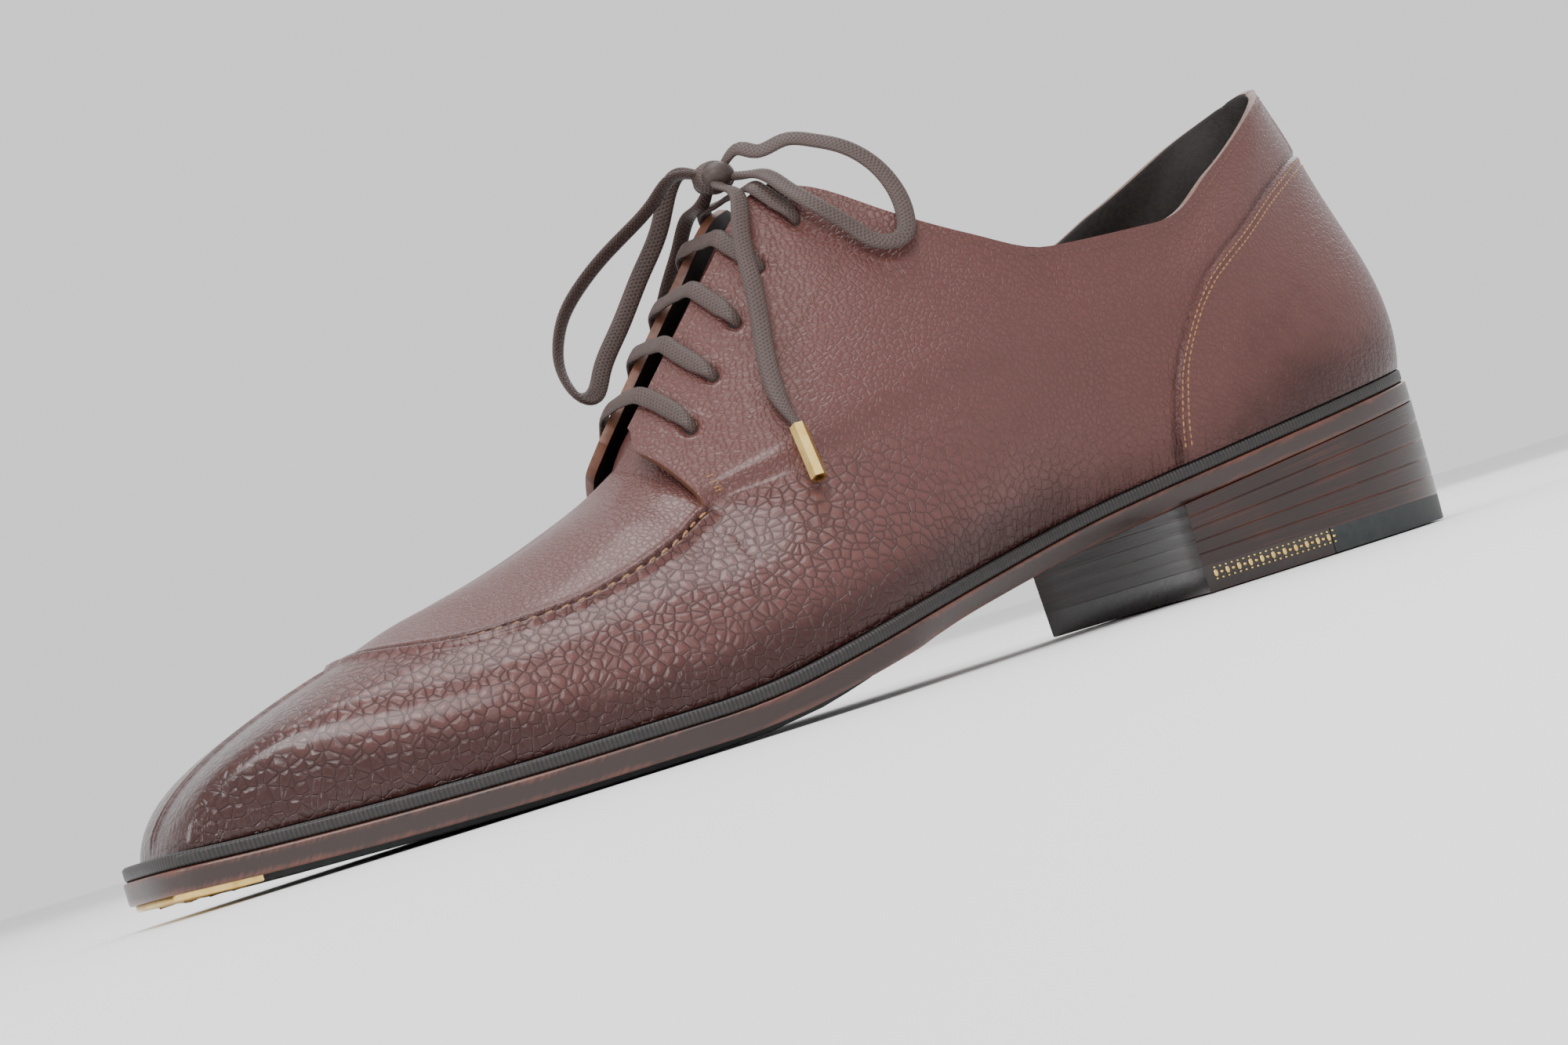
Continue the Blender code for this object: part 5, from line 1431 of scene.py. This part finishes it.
    def build(self) -> Piece:
        """Makes the skin, gives it a wall, and stitches it."""
        self.surface()
        height = self.relief()
        skin = self.last.place(self.base + self.normal * height[:, :, None])
        seam_row = int(np.argmin(np.abs(self.rows() - 1.0)))
        places = flat_places(skin, lengths_along(skin[:, seam_row])[:, None], self.away)
        bm = mapped_grid(skin, places, self.values())
        if sum(face.normal.dot(face.calc_center_median()) for face in bm.faces) < 0:
            bmesh.ops.reverse_faces(bm, faces=bm.faces)
        bmesh.ops.delete(bm, geom=self.web_faces(bm, skin), context="FACES")
        self.tree = BVHTree.FromBMesh(bm)
        look = self.finishes
        piece = finish_piece("lasted_upper", bm, [look.leather, look.lining, look.cut_edge], Slot.GRAIN,
                             ["upper"], 60.0, False)
        thicken(piece, self.last.sizes.wall)
        edge = piece.modifiers.new("cut_edges", "BEVEL")
        edge.width, edge.segments, edge.limit_method = self.rounded_edge, 2, "ANGLE"
        edge.angle_limit = math.radians(62)
        self.seams(skin, seam_row)
        return piece

    def web_faces(self, bm: bmesh.types.BMesh, skin: np.ndarray) -> list[bmesh.types.BMFace]:
        """Faces that join the vamp's last column to the facing's first above the seam."""
        rows = self.rows()
        above = rows > 1.0
        edges = np.nonzero(np.diff(self.facing.astype(int)))[0]
        vamp_points, flap_points = set(), set()
        for edge in edges:
            first, second = (edge, edge + 1) if not self.facing[edge] else (edge + 1, edge)
            vamp_points |= {tuple(np.round(p, 6)) for p in skin[first][above]}
            flap_points |= {tuple(np.round(p, 6)) for p in skin[second][above]}
        found = []
        for face in bm.faces:
            keys = [tuple(np.round(np.array(vert.co), 6)) for vert in face.verts]
            if any(key in vamp_points for key in keys) and any(key in flap_points for key in keys):
                found.append(face)
        return found

    def stitch(self, name: str, lines: Sequence[np.ndarray], pitch: float, size: tuple,
               material: bpy.types.Material, slant: float = 0.0, sink: float = 0.0) -> Piece:
        """A row of stitches laid on the skin.

        Args:
            name: the piece's name.
            lines: guide points of each row, in the shoe's frame.
            pitch: distance from stitch to stitch.
            size: half length, half width and half height of a stitch.
            material: the thread.
            slant: turn of each stitch on the skin, in degrees.
            sink: how far its middle lies under the skin.

        Returns:
            The piece.
        """
        bm = bmesh.new()
        for line in lines:
            path = smooth_route(line, pitch)
            for here, there in zip(path, path[1:]):
                spot, normal, _, _ = self.tree.find_nearest(Vector((here + there) / 2))
                way = Vector(there - here)
                way = (way - normal * way.dot(normal)).normalized()
                across = normal.cross(way)
                turn = Matrix((way, across, normal)).transposed().to_4x4()
                bmesh.ops.create_uvsphere(
                    bm, u_segments=6, v_segments=4, radius=1.0,
                    matrix=Matrix.Translation(spot - normal * sink) @ turn
                    @ Matrix.Rotation(math.radians(slant), 4, "Z") @ Matrix.Diagonal((*size, 1.0))
                    @ Matrix.Rotation(math.pi / 2, 4, "Y"))
        return finish_piece(name, bm, [material], Slot.LACE, closed=False)

    def seams(self, skin: np.ndarray, seam_row: int) -> None:
        """Lays the rows of stitches: apron, split toe, edges of the facings, top line and counter."""
        vamp = np.nonzero(~self.facing)[0]
        apron = skin[vamp[0]:vamp[-1] + 1:3, seam_row]
        self.stitch("apron_stitches", [apron], 0.0034, (0.00132, 0.00050, 0.00044), self.finishes.seam_thread,
                    14.0, -0.00022)
        toe = skin[int(np.argmin(np.abs(self.signed)))]
        rows = self.rows()
        self.stitch("split_toe_stitches", [toe[(rows > 0.08) & (rows < 0.94)][::3]], 0.0034,
                    (0.00120, 0.00034, 0.00026), self.finishes.edge_thread, 14.0)
        edge_rows = []
        for side in Side:
            facing = [self.last.place(self.last.facing_place(rib, side, 0.0021, 0.0))
                      for rib in np.linspace(1.10, 1.97, 10)]
            edge_rows.append(np.array(facing))
            collar = [self.last.place(self.last.facing_place(rib, side, 0.0022, 0.0))
                      for rib in self.collar_ribs]
            edge_rows.append(np.array(collar))
            low = [self.last.point(1.012 + 0.06 * t * t, side, row) for t, row in
                   zip(np.linspace(0.0, 1.0, 6), np.linspace(1.10, 1.86, 6))]
            edge_rows.append(self.last.place(np.array(low) + np.array([0.0019, 0.0, 0.0])))
        self.stitch("edge_stitches", edge_rows, 0.00155, (0.00060, 0.00020, 0.00014), self.finishes.edge_thread)
        self.stitch("facing_stitches", self.facing_lines(), 0.0016, (0.00062, 0.00021, 0.00015),
                    self.finishes.edge_thread)
        self.stitch("counter_stitches", self.counter_lines(skin), 0.0015, (0.00058, 0.00021, 0.00015),
                    self.finishes.seam_thread)
        tacks = [self.last.place(np.array(self.tack) * (1.0, side.value, 1.0)) for side in Side]
        self.stitch("bar_tacks", tacks, 0.0011, (0.0009, 0.0002, 0.0002), self.finishes.seam_thread, 80.0)

    def facing_lines(self) -> list[np.ndarray]:
        """The curved row behind the eyelets that runs down to the quarter."""
        lateral = np.array(self.facing_row)
        return [self.last.place(line * (1.0, -side.value, 1.0))
                for line in (lateral, lateral + self.second_row) for side in Side]

    def counter_lines(self, skin: np.ndarray) -> list[np.ndarray]:
        """Two rows along the counter's rounded edge on each side."""
        lines, corner = [], self.counter_corner
        for depth in (0.0012, 0.0027):
            for side in Side:
                columns = np.nonzero((self.signed * side.value > self.counter_rib - 0.05) & self.facing)[0]
                columns = columns if side is Side.MEDIAL else columns[::-1]
                line = []
                for j in range(2, skin.shape[1]):
                    if -self.away[columns[0], j] > corner * 0.55:
                        line += self.crossing(self.counter[columns, j], skin[columns, j], depth)[:1]
                for column in columns:
                    if self.counter[column].max() > depth and self.along_counter[column] > corner * 0.55:
                        line += self.crossing(self.counter[column], skin[column], depth)[-1:]
                lines.append(np.array(line[::2]))
        return lines

    @staticmethod
    def crossing(values: np.ndarray, points: np.ndarray, level: float) -> list[np.ndarray]:
        """Places on a line of points where its values cross a level."""
        found = []
        for j in np.nonzero((values[:-1] - level) * (values[1:] - level) < 0)[0]:
            t = (level - values[j]) / (values[j + 1] - values[j])
            found.append(points[j] * (1 - t) + points[j + 1] * t)
        return found


@dataclass
class Tongue:
    """The tongue, which goes on from the end of the vamp under both facings."""

    last: Last
    finishes: Finishes
    ribs: tuple[float, ...] = (1.06, 1.14, 1.25, 1.40, 1.55, 1.70, 1.85, 1.97)
    low_row: tuple[float, float] = (1.05, 1.42)
    high_row: float = 1.96
    crown: float = 0.0016

    def rows(self, rib: float) -> np.ndarray:
        """Rows of the sheet at a rib; it reaches far down at its start, behind the flap's corner."""
        low = self.low_row[0] + (self.low_row[1] - self.low_row[0]) * float(smooth_step(rib, 1.12, 1.40))
        return np.linspace(low, self.high_row, 7)

    def build(self) -> Piece:
        """Makes the sheet and gives it its thickness."""
        clear = self.last.sizes.wall + 2 * self.last.sizes.gap
        lines = []
        for rib, depth in ((0.955, 0.0011), (0.985, 0.0004), (1.0, 0.00015)):
            halves = [self.last.rib_points(rib, side, self.rows(rib), False) for side in Side]
            crest = self.last.crest_track.at(rib)
            line = np.array(list(halves[0]) + [crest] + list(halves[1][::-1]))
            line[:, 2] -= depth
            lines.append(line)
        for rib in self.ribs:
            halves = [np.array([self.last.point(rib, side, row, clear) for row in self.rows(rib)])
                      for side in Side]
            crown = (halves[0][-1] + halves[1][-1]) / 2
            crown[2] += self.crown
            lines.append(np.array(list(halves[0]) + [crown] + list(halves[1][::-1])))
        lines = np.array([smooth_route(line, float(lengths_along(line)[-1]) / 30) for line in lines])
        sheet = np.array([smooth_route(lines[:, j], float(lengths_along(lines[:, j])[-1]) / 60)
                          for j in range(lines.shape[1])]).transpose(1, 0, 2)
        skin = self.last.place(sheet)
        uv = flat_places(skin, lengths_along(skin), 0.02 + lengths_along(skin.transpose(1, 0, 2)).T)
        shape = skin.shape[:2]
        values = {"burnish": np.full(shape, 0.25), "coarse": np.zeros(shape), "low": np.zeros(shape),
                  "apron": np.zeros(shape), "gloss": np.full(shape, 0.3)}
        bm = mapped_grid(skin, uv, values)
        if sum(face.normal.z for face in bm.faces) < 0:
            bmesh.ops.reverse_faces(bm, faces=bm.faces)
        look = self.finishes
        # The tongue's cut edges, under the facings, take the near-black painted shade.
        piece = finish_piece("tongue_sheet", bm, [look.leather, look.lining, look.void], Slot.TONGUE,
                             ["tongue"], 60.0, False)
        thicken(piece, self.last.sizes.tongue_wall)
        return piece


@dataclass
class Bottom:
    """Welt, leather sole, rubber half sole, toe plate, heel and their small fittings."""

    last: Last
    finishes: Finishes
    rounding: float = 0.0005
    hollow: float = 0.0065
    taper: float = 0.0010
    lifts: int = 5
    groove: float = 0.00016
    corner_share: float = 0.11
    rim_bevel: float = 0.00028
    joint_space: float = 0.0001
    screws: tuple = ((0.0138, 0.15), (0.0136, 0.50), (0.0138, 0.85), (0.0068, 0.30), (0.0068, 0.70))
    screw_turn: float = 0.7
    screw_half: tuple = (0.0018, 0.0018, 0.00022)
    screw_slot: tuple = (0.0026, 0.00042, 0.00022)
    strip: tuple = (0.00055, 0.0051)
    strip_ends: tuple = (-0.0341, 0.0341 - 0.0006)
    strip_height: float = 0.0026
    beads: int = 22
    beads_from: float = 0.2262
    beads_height: float = 0.0036
    big_bead: tuple = (0.00052, 0.00080, 0.00030)
    small_bead: tuple = (0.00045, 0.00032, 0.00024)
    side_bead: tuple = (0.00030, 0.00024, 0.00020)
    side_bead_lift: float = 0.0012

    def ribs(self) -> np.ndarray:
        """Ribs of the closed outlines, close together round the toe and the heel."""
        return np.concatenate((np.linspace(0.0, 0.35, 40)[:-1], np.linspace(0.35, 2.4, 70)[:-1],
                               np.linspace(2.4, 3.0, 48)))

    def welt(self) -> Piece:
        """Strip round the whole shoe under the upper's edge, with rounded edges."""
        size = self.last.sizes
        stops = ([(rib, Side.LATERAL) for rib in self.ribs()]
                 + [(rib, Side.MEDIAL) for rib in self.ribs()[::-1]])
        rings = []
        for rib, side in stops:
            base = self.last.outline(rib, side)[0]
            low = self.last.underside(base[0]) + size.outsole + size.gap
            inner = self.last.margin(rib) + size.wall
            r = self.rounding
            section = [(inner, -size.gap), (r * 2, -size.gap), (r * 1.2, r * 0.2), (r, r * 0.8),
                       (r, size.welt - r * 1.3), (r * 1.3, size.welt - r * 0.5), (r * 2.2, size.welt),
                       (inner * 0.6, size.welt), (inner, size.welt), (inner, -size.gap)]
            rings.append([(*self.last.outline(rib, side, inset)[0], low + up) for inset, up in section])
        rings = self.last.place(np.array(rings))
        return finish_piece("milled_welt", mapped_grid(rings, walked_places(rings, 3)), [self.finishes.welt],
                            Slot.WELT, ["welt"], 70.0)

    def sole_inset(self, share: float, along: float) -> float:
        """Inset of the edge at a share of the sole's thickness: square in front, bevelled at the waist."""
        size = self.last.sizes
        bevel = float(self.last.bevel_track.at(along / size.length)[0]) * size.waist_bevel
        near = min(min(share, 1 - share) / self.corner_share, 1.0)
        rounding = self.rounding * (1 - math.sqrt(max(0.0, 1 - (1 - near) ** 2)))
        return bevel * (1 - share) ** 1.6 + rounding

    def leather_sole(self) -> Piece:
        """The leather sole: a closed section at each rib, underside, edge and top."""
        size = self.last.sizes
        shares = (0.0, 0.02, 0.06, 0.11, 0.25, 0.45, 0.65, 0.80, 0.89, 0.94, 0.98, 1.0)
        across = np.concatenate(([0.0, 0.0015, 0.0030, 0.0045], np.linspace(0.006, 0.5, 9)))
        rings, rims = [], []
        for rib in self.ribs():
            edge = {side: [] for side in Side}
            for side in Side:
                for share in shares:
                    along = self.last.outline(rib, side)[0][0]
                    point = self.last.outline(rib, side, self.sole_inset(share, along))[0]
                    edge[side].append((*point, self.last.underside(along) + size.outsole * share))
            lateral, medial = (np.array(edge[side]) for side in Side)
            width = max(np.linalg.norm(medial[0] - lateral[0]), 1e-9)
            steps = np.array([min(a, 0.5 * width) for a in across[:4]] + [a * width for a in across[4:]])
            steps = np.minimum(np.maximum.accumulate(steps), 0.5 * width) / width
            cross = np.concatenate((steps, 1 - steps[::-1][1:]))
            base = [lateral[0] * (1 - t) + medial[0] * t for t in cross]
            top = [medial[-1] * (1 - t) + lateral[-1] * t for t in (0.25, 0.5, 0.75)]
            ring = base + list(medial[1:]) + top + list(lateral[::-1])
            rims.append([0.0] * len(base) + list(shares[1:]) + [1.0] * 3 + list(shares[::-1]))
            rings.append(ring)
        rings = self.last.place(np.array(rings))
        # Distance from the edge, measured straight to the outline so that it also holds at toe and heel.
        outline = np.concatenate((rings[:, 0, :2], rings[:, len(base) - 1, :2]))
        insets = np.zeros(rings.shape[:2])
        for i in range(rings.shape[0]):
            for j in range(len(base)):
                insets[i, j] = np.min(np.linalg.norm(outline - rings[i, j, :2], axis=1))
        back = smooth_step(rings[:, :, 0] + size.middle_x, 0.172, 0.226)
        bm = mapped_grid(rings, walked_places(rings, 0), {"rim": np.array(rims), "inset": insets, "back": back})
        bmesh.ops.recalc_face_normals(bm, faces=bm.faces)
        layer = bm.verts.layers.float["rim"]
        for face in bm.faces:
            face.material_index = 1 if all(vert[layer] == 0.0 for vert in face.verts) else 0
        return finish_piece("leather_sole", bm, [self.finishes.sole_edge, self.finishes.sole_bottom],
                            Slot.SOLE, ["outsole"], 60.0)

    def screw_places(self, drop: float) -> list[np.ndarray]:
        """Middles of the screws, a drop under the underside."""
        found = []
        for along, share in self.screws:
            lateral, medial = (self.last.outline(self.edge_rib(along, side, 0.0), side)[0][1]
                               for side in Side)
            found.append(np.array([along, lateral + (medial - lateral) * share,
                                   self.last.underside(along) - drop]))
        return found

    def screw_heads(self) -> Piece:
        """Five slotted countersunk heads, level with the toe plate."""
        bm = bmesh.new()
        for number, spot in enumerate(self.screw_places(self.last.sizes.half_sole)):
            slope = (self.last.underside(spot[0] + 0.002) - self.last.underside(spot[0] - 0.002)) / 0.004
            place = Matrix.Translation(Vector(self.last.place(spot)))
            egg(bm, (24, 8), place @ Matrix.Rotation(-math.atan(slope), 4, "Y")
                @ Matrix.Rotation(self.screw_turn * number, 4, "Z"), self.screw_half)
        return finish_piece("toe_plate_screws", bm, [self.finishes.brass], Slot.BRASS, closed=False, sharp=30.0)

    def screw_slot_shade(self) -> Piece:
        """Slots across the screw heads, as near-black boxes of painted shade."""
        bm = bmesh.new()
        for number, spot in enumerate(self.screw_places(self.last.sizes.half_sole + 0.00017)):
            # Each slot is a near-black box of painted shade.
            bmesh.ops.create_cube(bm, size=1.0, matrix=Matrix.Translation(Vector(self.last.place(spot)))
                                  @ Matrix.Rotation(self.screw_turn * number + 0.3, 4, "Z")
                                  @ Matrix.Diagonal((*self.screw_slot, 1.0)))
        bmesh.ops.bevel(bm, geom=bm.edges[:], offset=0.00004, affect="EDGES", segments=1, profile=0.5,
                        material=-1)
        return finish_piece("screw_slot_shade", bm, [self.finishes.void], Slot.BRASS)

    def joint_y(self, across: float) -> float:
        """Distance from the toe of the top piece's joint."""
        size = self.last.sizes
        return size.length - size.heel_length + size.joint + size.joint_slant * (across / size.seat + 0.5)

    def joint_strip(self) -> Piece:
        """Thin brass strip let in between the two halves of the top piece."""
        ends = [self.last.place(np.array([self.joint_y(y), y, self.strip_height])) for y in self.strip_ends]
        way = Vector(ends[1] - ends[0])
        turn = way.to_track_quat("Y", "Z").to_matrix().to_4x4()
        middle = Vector((ends[0] + ends[1]) / 2)
        bm = bmesh.new()
        bmesh.ops.create_cube(bm, size=1.0, matrix=Matrix.Translation(middle) @ turn
                              @ Matrix.Diagonal((self.strip[0], way.length, self.strip[1], 1.0)))
        bmesh.ops.bevel(bm, geom=bm.edges[:], offset=0.00008, affect="EDGES", segments=2, profile=0.5,
                        material=-1)
        return finish_piece("joint_strip", bm, [self.finishes.brass], Slot.BRASS)

    def wheel_ornament(self) -> Piece:
        """Gold beads and rings pressed along the lower outer edge of the heel."""
        bm = bmesh.new()
        line = []
        for rib in np.linspace(2.40, 2.80, 80):
            point, out = self.last.outline(rib, Side.LATERAL, 0.0008)
            line.append((point[0], point[1], out[0], out[1]))
        line = np.array([p for p in line if self.beads_from < p[0] < self.joint_y(-0.034) + 0.001])
        walked = lengths_along(line[:, :2])
        for i in range(self.beads):
            at = walked[-1] * (i + 0.5) / self.beads
            x, y, nx, ny = (float(np.interp(at, walked, line[:, k])) for k in range(4))
            spot = Vector(self.last.place(np.array([x + nx * 0.0001, y + ny * 0.0001, self.beads_height])))
            turn = facing_out(Vector((nx, ny, 0.0)))
            egg(bm, (8, 5), Matrix.Translation(spot) @ turn, self.small_bead if i % 2 else self.big_bead)
            for lift in (-self.side_bead_lift, self.side_bead_lift):
                egg(bm, (6, 4), Matrix.Translation(spot + Vector((0, 0, lift))) @ turn, self.side_bead)
        return finish_piece("heel_wheel_ornament", bm, [self.finishes.brass], Slot.BRASS, closed=False)

    def edge_rib(self, along: float, side: Side, inset: float) -> float:
        """The rib whose outline point lies at a distance from the toe."""
        low, high = 0.0, 3.0
        for _ in range(HALVINGS_OF_RIB):
            rib = (low + high) / 2
            if self.last.outline(rib, side, inset)[0][0] < along:
                low = rib
            else:
                high = rib
        return low

    def heel_outline(self, inset: float) -> np.ndarray:
        """Closed outline of the heel: hollow breast, then round the back."""
        size = self.last.sizes
        breast = size.length - size.heel_length
        ribs = {side: self.edge_rib(breast, side, inset) for side in Side}
        lateral, medial = (self.last.outline(ribs[side], side, inset)[0] for side in Side)
        points = []
        for t in np.linspace(0.0, 1.0, 27):
            hollow = self.hollow * math.sin(math.pi * t) ** 0.8
            points.append((breast + hollow, medial[1] + (lateral[1] - medial[1]) * t))
        first = {side: self.edge_rib(breast + 0.0022, side, inset) for side in Side}
        points += [self.last.outline(rib, Side.LATERAL, inset)[0]
                   for rib in np.linspace(first[Side.LATERAL], 3.0, 56)]
        points += [self.last.outline(rib, Side.MEDIAL, inset)[0]
                   for rib in np.linspace(3.0, first[Side.MEDIAL], 56)[1:]]
        points.append(points[0])
        return np.array([tuple(p) for p in points])

    def heel_stack(self) -> Piece:
        """The five lifts as one waxed block, with a fine groove at each joint."""
        size, count = self.last.sizes, self.lifts
        foot = size.top_piece + size.gap
        low_share = size.top_piece / self.last.underside(size.length - size.heel_length)
        layers = [0.0]
        for number in range(count):
            layers += [number + 0.012, number + 0.05, number + 0.5, number + 0.95, number + 0.988]
        layers.append(float(count))
        rings = []
        for layer in layers:
            near = abs(layer - round(layer))
            groove = self.groove * (1 - smooth_step(near, 0.0, 0.045)) if 0.5 < layer < count - 0.5 else 0.0
            share = low_share + (1 - low_share) * layer / count
            flat = self.heel_outline(self.taper * (1 - share) + float(groove))
            rings.append([(x, y, foot + (self.last.underside(x) - foot) * layer / count) for x, y in flat])
        rings = np.array(rings)
        caps = [np.repeat(ring.mean(axis=0)[None], len(ring), axis=0) for ring in (rings[0], rings[-1])]
        rings = np.concatenate((caps[:1], rings, caps[1:]))
        marks = np.repeat(np.array([0.0] + layers + [float(count)])[:, None], rings.shape[1], axis=1)
        rings = self.last.place(rings)
        uv = flat_places(rings, lengths_along(rings[1])[None, :], marks * 0.004)
        return finish_piece("heel_stack", mapped_grid(rings, uv, {"layer": marks}), [self.finishes.stack],
                            Slot.STACK, [f"heel_lift_{number}" for number in range(1, count + 1)], 32.0)

    def trimmed(self, bm: bmesh.types.BMesh, name: str, node: str, below: bpy.types.Material,
                around: bpy.types.Material, slot: Slot) -> Piece:
        """Rounds the lower rim of a flat solid and dresses it.

        Args:
            bm: the solid.
            name: the piece's name.
            node: the CAD solid that it stands for.
            below: finish of the underside.
            around: finish of the edge.
            slot: handed on to finish_piece, which does not use it.

        Returns:
            The piece.
        """
        bmesh.ops.recalc_face_normals(bm, faces=bm.faces)
        top = {vert for face in bm.faces if face.normal.z > 0.6 for vert in face.verts}
        low = [edge for edge in bm.edges if len(edge.link_faces) == 2 and edge.calc_face_angle(0.0) > 1.0
               and all(vert not in top for vert in edge.verts)]
        bmesh.ops.bevel(bm, geom=low, offset=self.rim_bevel, affect="EDGES", segments=2, profile=0.5,
                        material=-1)
        for face in bm.faces:
            face.material_index = 0 if face.normal.z < -0.7 else 1
        return finish_piece(name, bm, [below, around], slot, [node], 40.0)

    def snug(self, node: Piece, name: str, below: bpy.types.Material, around: bpy.types.Material,
             slot: Slot) -> Piece:
        """A copy of a flat solid whose top meets what lies over it.

        Args:
            node: the CAD solid.
            name: the copy's name.
            below: finish of the underside.
            around: finish of the edge.
            slot: handed on to finish_piece, which does not use it.

        Returns:
            The copy, which stands for the solid.
        """
        bm = bmesh.new()
        bm.from_mesh(node.data)
        bmesh.ops.remove_doubles(bm, verts=bm.verts, dist=MERGE)
        bmesh.ops.recalc_face_normals(bm, faces=bm.faces)
        bmesh.ops.dissolve_limit(bm, angle_limit=math.radians(1.0), verts=bm.verts, edges=bm.edges)
        for vert in {vert for face in bm.faces if face.normal.z > 0.6 for vert in face.verts}:
            vert.co.z += self.last.sizes.gap
        return self.trimmed(bm, name, node.name, below, around, slot)

    def top_piece(self, front: bool) -> Piece:
        """The leather or the rubber part of the top piece, cut from the heel's own outline."""
        size, look = self.last.sizes, self.finishes
        share = size.top_piece / self.last.underside(size.length - size.heel_length)
        rings = [[(x, y, z) for x, y in self.heel_outline(self.taper * (1 - part))]
                 for part, z in ((0.0, 0.0), (share, size.top_piece + size.gap))]
        caps = [[np.mean(ring[:-1], axis=0)] * len(ring) for ring in rings]
        bm = mapped_grid(self.last.place(np.array([caps[0], *rings, caps[1]])))
        ends = [Vector(self.last.place(np.array([self.joint_y(y), y, 0.0]))) for y in (-0.03, 0.03)]
        across = (ends[1] - ends[0]).normalized()
        ahead = Vector((across.y, -across.x, 0.0))
        ahead = ahead if ahead.x > 0 else -ahead
        shift = ahead * (-self.joint_space if front else self.joint_space)
        bmesh.ops.bisect_plane(bm, geom=bm.verts[:] + bm.edges[:] + bm.faces[:], dist=1e-7,
                               plane_co=ends[0] + shift, plane_no=ahead, clear_outer=front,
                               clear_inner=not front)
        bmesh.ops.holes_fill(bm, edges=[edge for edge in bm.edges if edge.is_boundary], sides=0)
        if front:
            return self.trimmed(bm, "top_piece_front", "top_piece_leather", look.heel_leather, look.dark_edge,
                                Slot.SOLE)
        return self.trimmed(bm, "top_piece_back", "top_piece_rubber", look.plain_rubber, look.plain_rubber,
                            Slot.RUBBER)

    def build(self, nodes: dict[str, Piece]) -> None:
        """Makes the bottom's pieces and dresses the CAD nodes that stay."""
        look = self.finishes
        self.welt()
        self.leather_sole()
        self.heel_stack()
        self.snug(nodes["half_sole"], "ribbed_half_sole", look.rubber, look.plain_rubber, Slot.RUBBER)
        self.snug(nodes["toe_plate"], "brass_toe_plate", look.brass, look.brass, Slot.BRASS)
        self.top_piece(True)
        self.top_piece(False)
        self.screw_heads()
        self.screw_slot_shade()
        self.joint_strip()
        self.wheel_ornament()
        redress(nodes["insole"], look.lining)
        LOG.info("insole keeps its solid")


@dataclass(frozen=True)
class Studio:
    """Camera, soft lights and a plain pale floor."""

    position: tuple = (-0.33394, -0.63788, 0.010)
    aim: tuple = (-0.00188, 0.00124, 0.03996)
    roll: float = 17.25
    focal: float = 80.26
    lights: tuple = (
        ("key", (-0.55, -0.95, 1.00), 0.5, 12.0),
        ("top", (0.10, 0.05, 1.30), 0.6, 8.0),
        ("front_strip", (-0.95, -0.10, 0.40), 0.3, 3.0),
        ("back_fill", (0.95, 0.75, 0.80), 0.8, 6.0),
    )
    surround: tuple = (0.93, 0.93, 0.94, 1.0)
    strength: float = 1.15
    floor_size: float = 14.0
    floor_height: float = -0.0003

    def camera(self) -> None:
        """Sets the camera at the photo's angle, rolled as the photo is."""
        data = bpy.data.cameras.new("camera")
        data.lens, data.sensor_width, data.sensor_fit = self.focal, 36.0, "HORIZONTAL"
        data.clip_start, data.clip_end = 0.01, 50.0
        camera = linked("camera", data)
        forward = (Vector(self.aim) - Vector(self.position)).normalized()
        right = forward.cross(Vector((0, 0, 1))).normalized()
        up = right.cross(forward)
        angle = math.radians(self.roll)
        rolled_right = right * math.cos(angle) - up * math.sin(angle)
        rolled_up = right * math.sin(angle) + up * math.cos(angle)
        camera.matrix_world = Matrix.Translation(self.position) @ Matrix(
            (rolled_right, rolled_up, -forward)).transposed().to_4x4()
        bpy.context.scene.camera = camera

    def floor(self) -> None:
        """Plain pale floor."""
        bench = Bench("studio_floor")
        cloud = bench.noise(bench.place(), 3.0, 2.0)
        bench.set(Base_Color=bench.mix(cloud, (0.84, 0.84, 0.84), (0.87, 0.87, 0.87)), Roughness=0.6)
        bm = bmesh.new()
        bmesh.ops.create_grid(bm, x_segments=8, y_segments=8, size=self.floor_size)
        bmesh.ops.translate(bm, verts=bm.verts, vec=(0.0, 0.0, self.floor_height))
        mesh = mesh_of("studio_floor", bm)
        mesh.materials.append(bench.material)
        linked("studio_floor", mesh)

    def light(self) -> None:
        """Large soft lights and a bright even surround."""
        for name, place, size, power in self.lights:
            data = bpy.data.lights.new(name, "AREA")
            data.size, data.energy = size, power
            lamp = linked(name, data)
            lamp.location = place
            way = Vector((0.0, 0.0, 0.04)) - Vector(place)
            lamp.rotation_euler = way.to_track_quat("-Z", "Y").to_euler()
        world = bpy.data.worlds.new("surround")
        world.use_nodes = True
        shade = world.node_tree.nodes["Background"]
        shade.inputs["Color"].default_value = self.surround
        shade.inputs["Strength"].default_value = self.strength
        bpy.context.scene.world = world

    def build(self) -> None:
        """Makes camera, floor and lights."""
        self.camera()
        self.floor()
        self.light()


def main() -> None:
    """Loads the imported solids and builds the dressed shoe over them."""
    logging.basicConfig(level=logging.INFO, format="%(name)s: %(message)s")
    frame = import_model()
    studio = Studio()
    studio.build()
    last = Last(SIZES)
    finishes = Finishes()
    Bow(last, finishes).build(frame["nodes"])
    LaceBars(last, finishes).build()
    Upper(last, finishes).build()
    Tongue(last, finishes).build()
    Bottom(last, finishes).build(frame["nodes"])


if __name__ == "__main__":
    main()
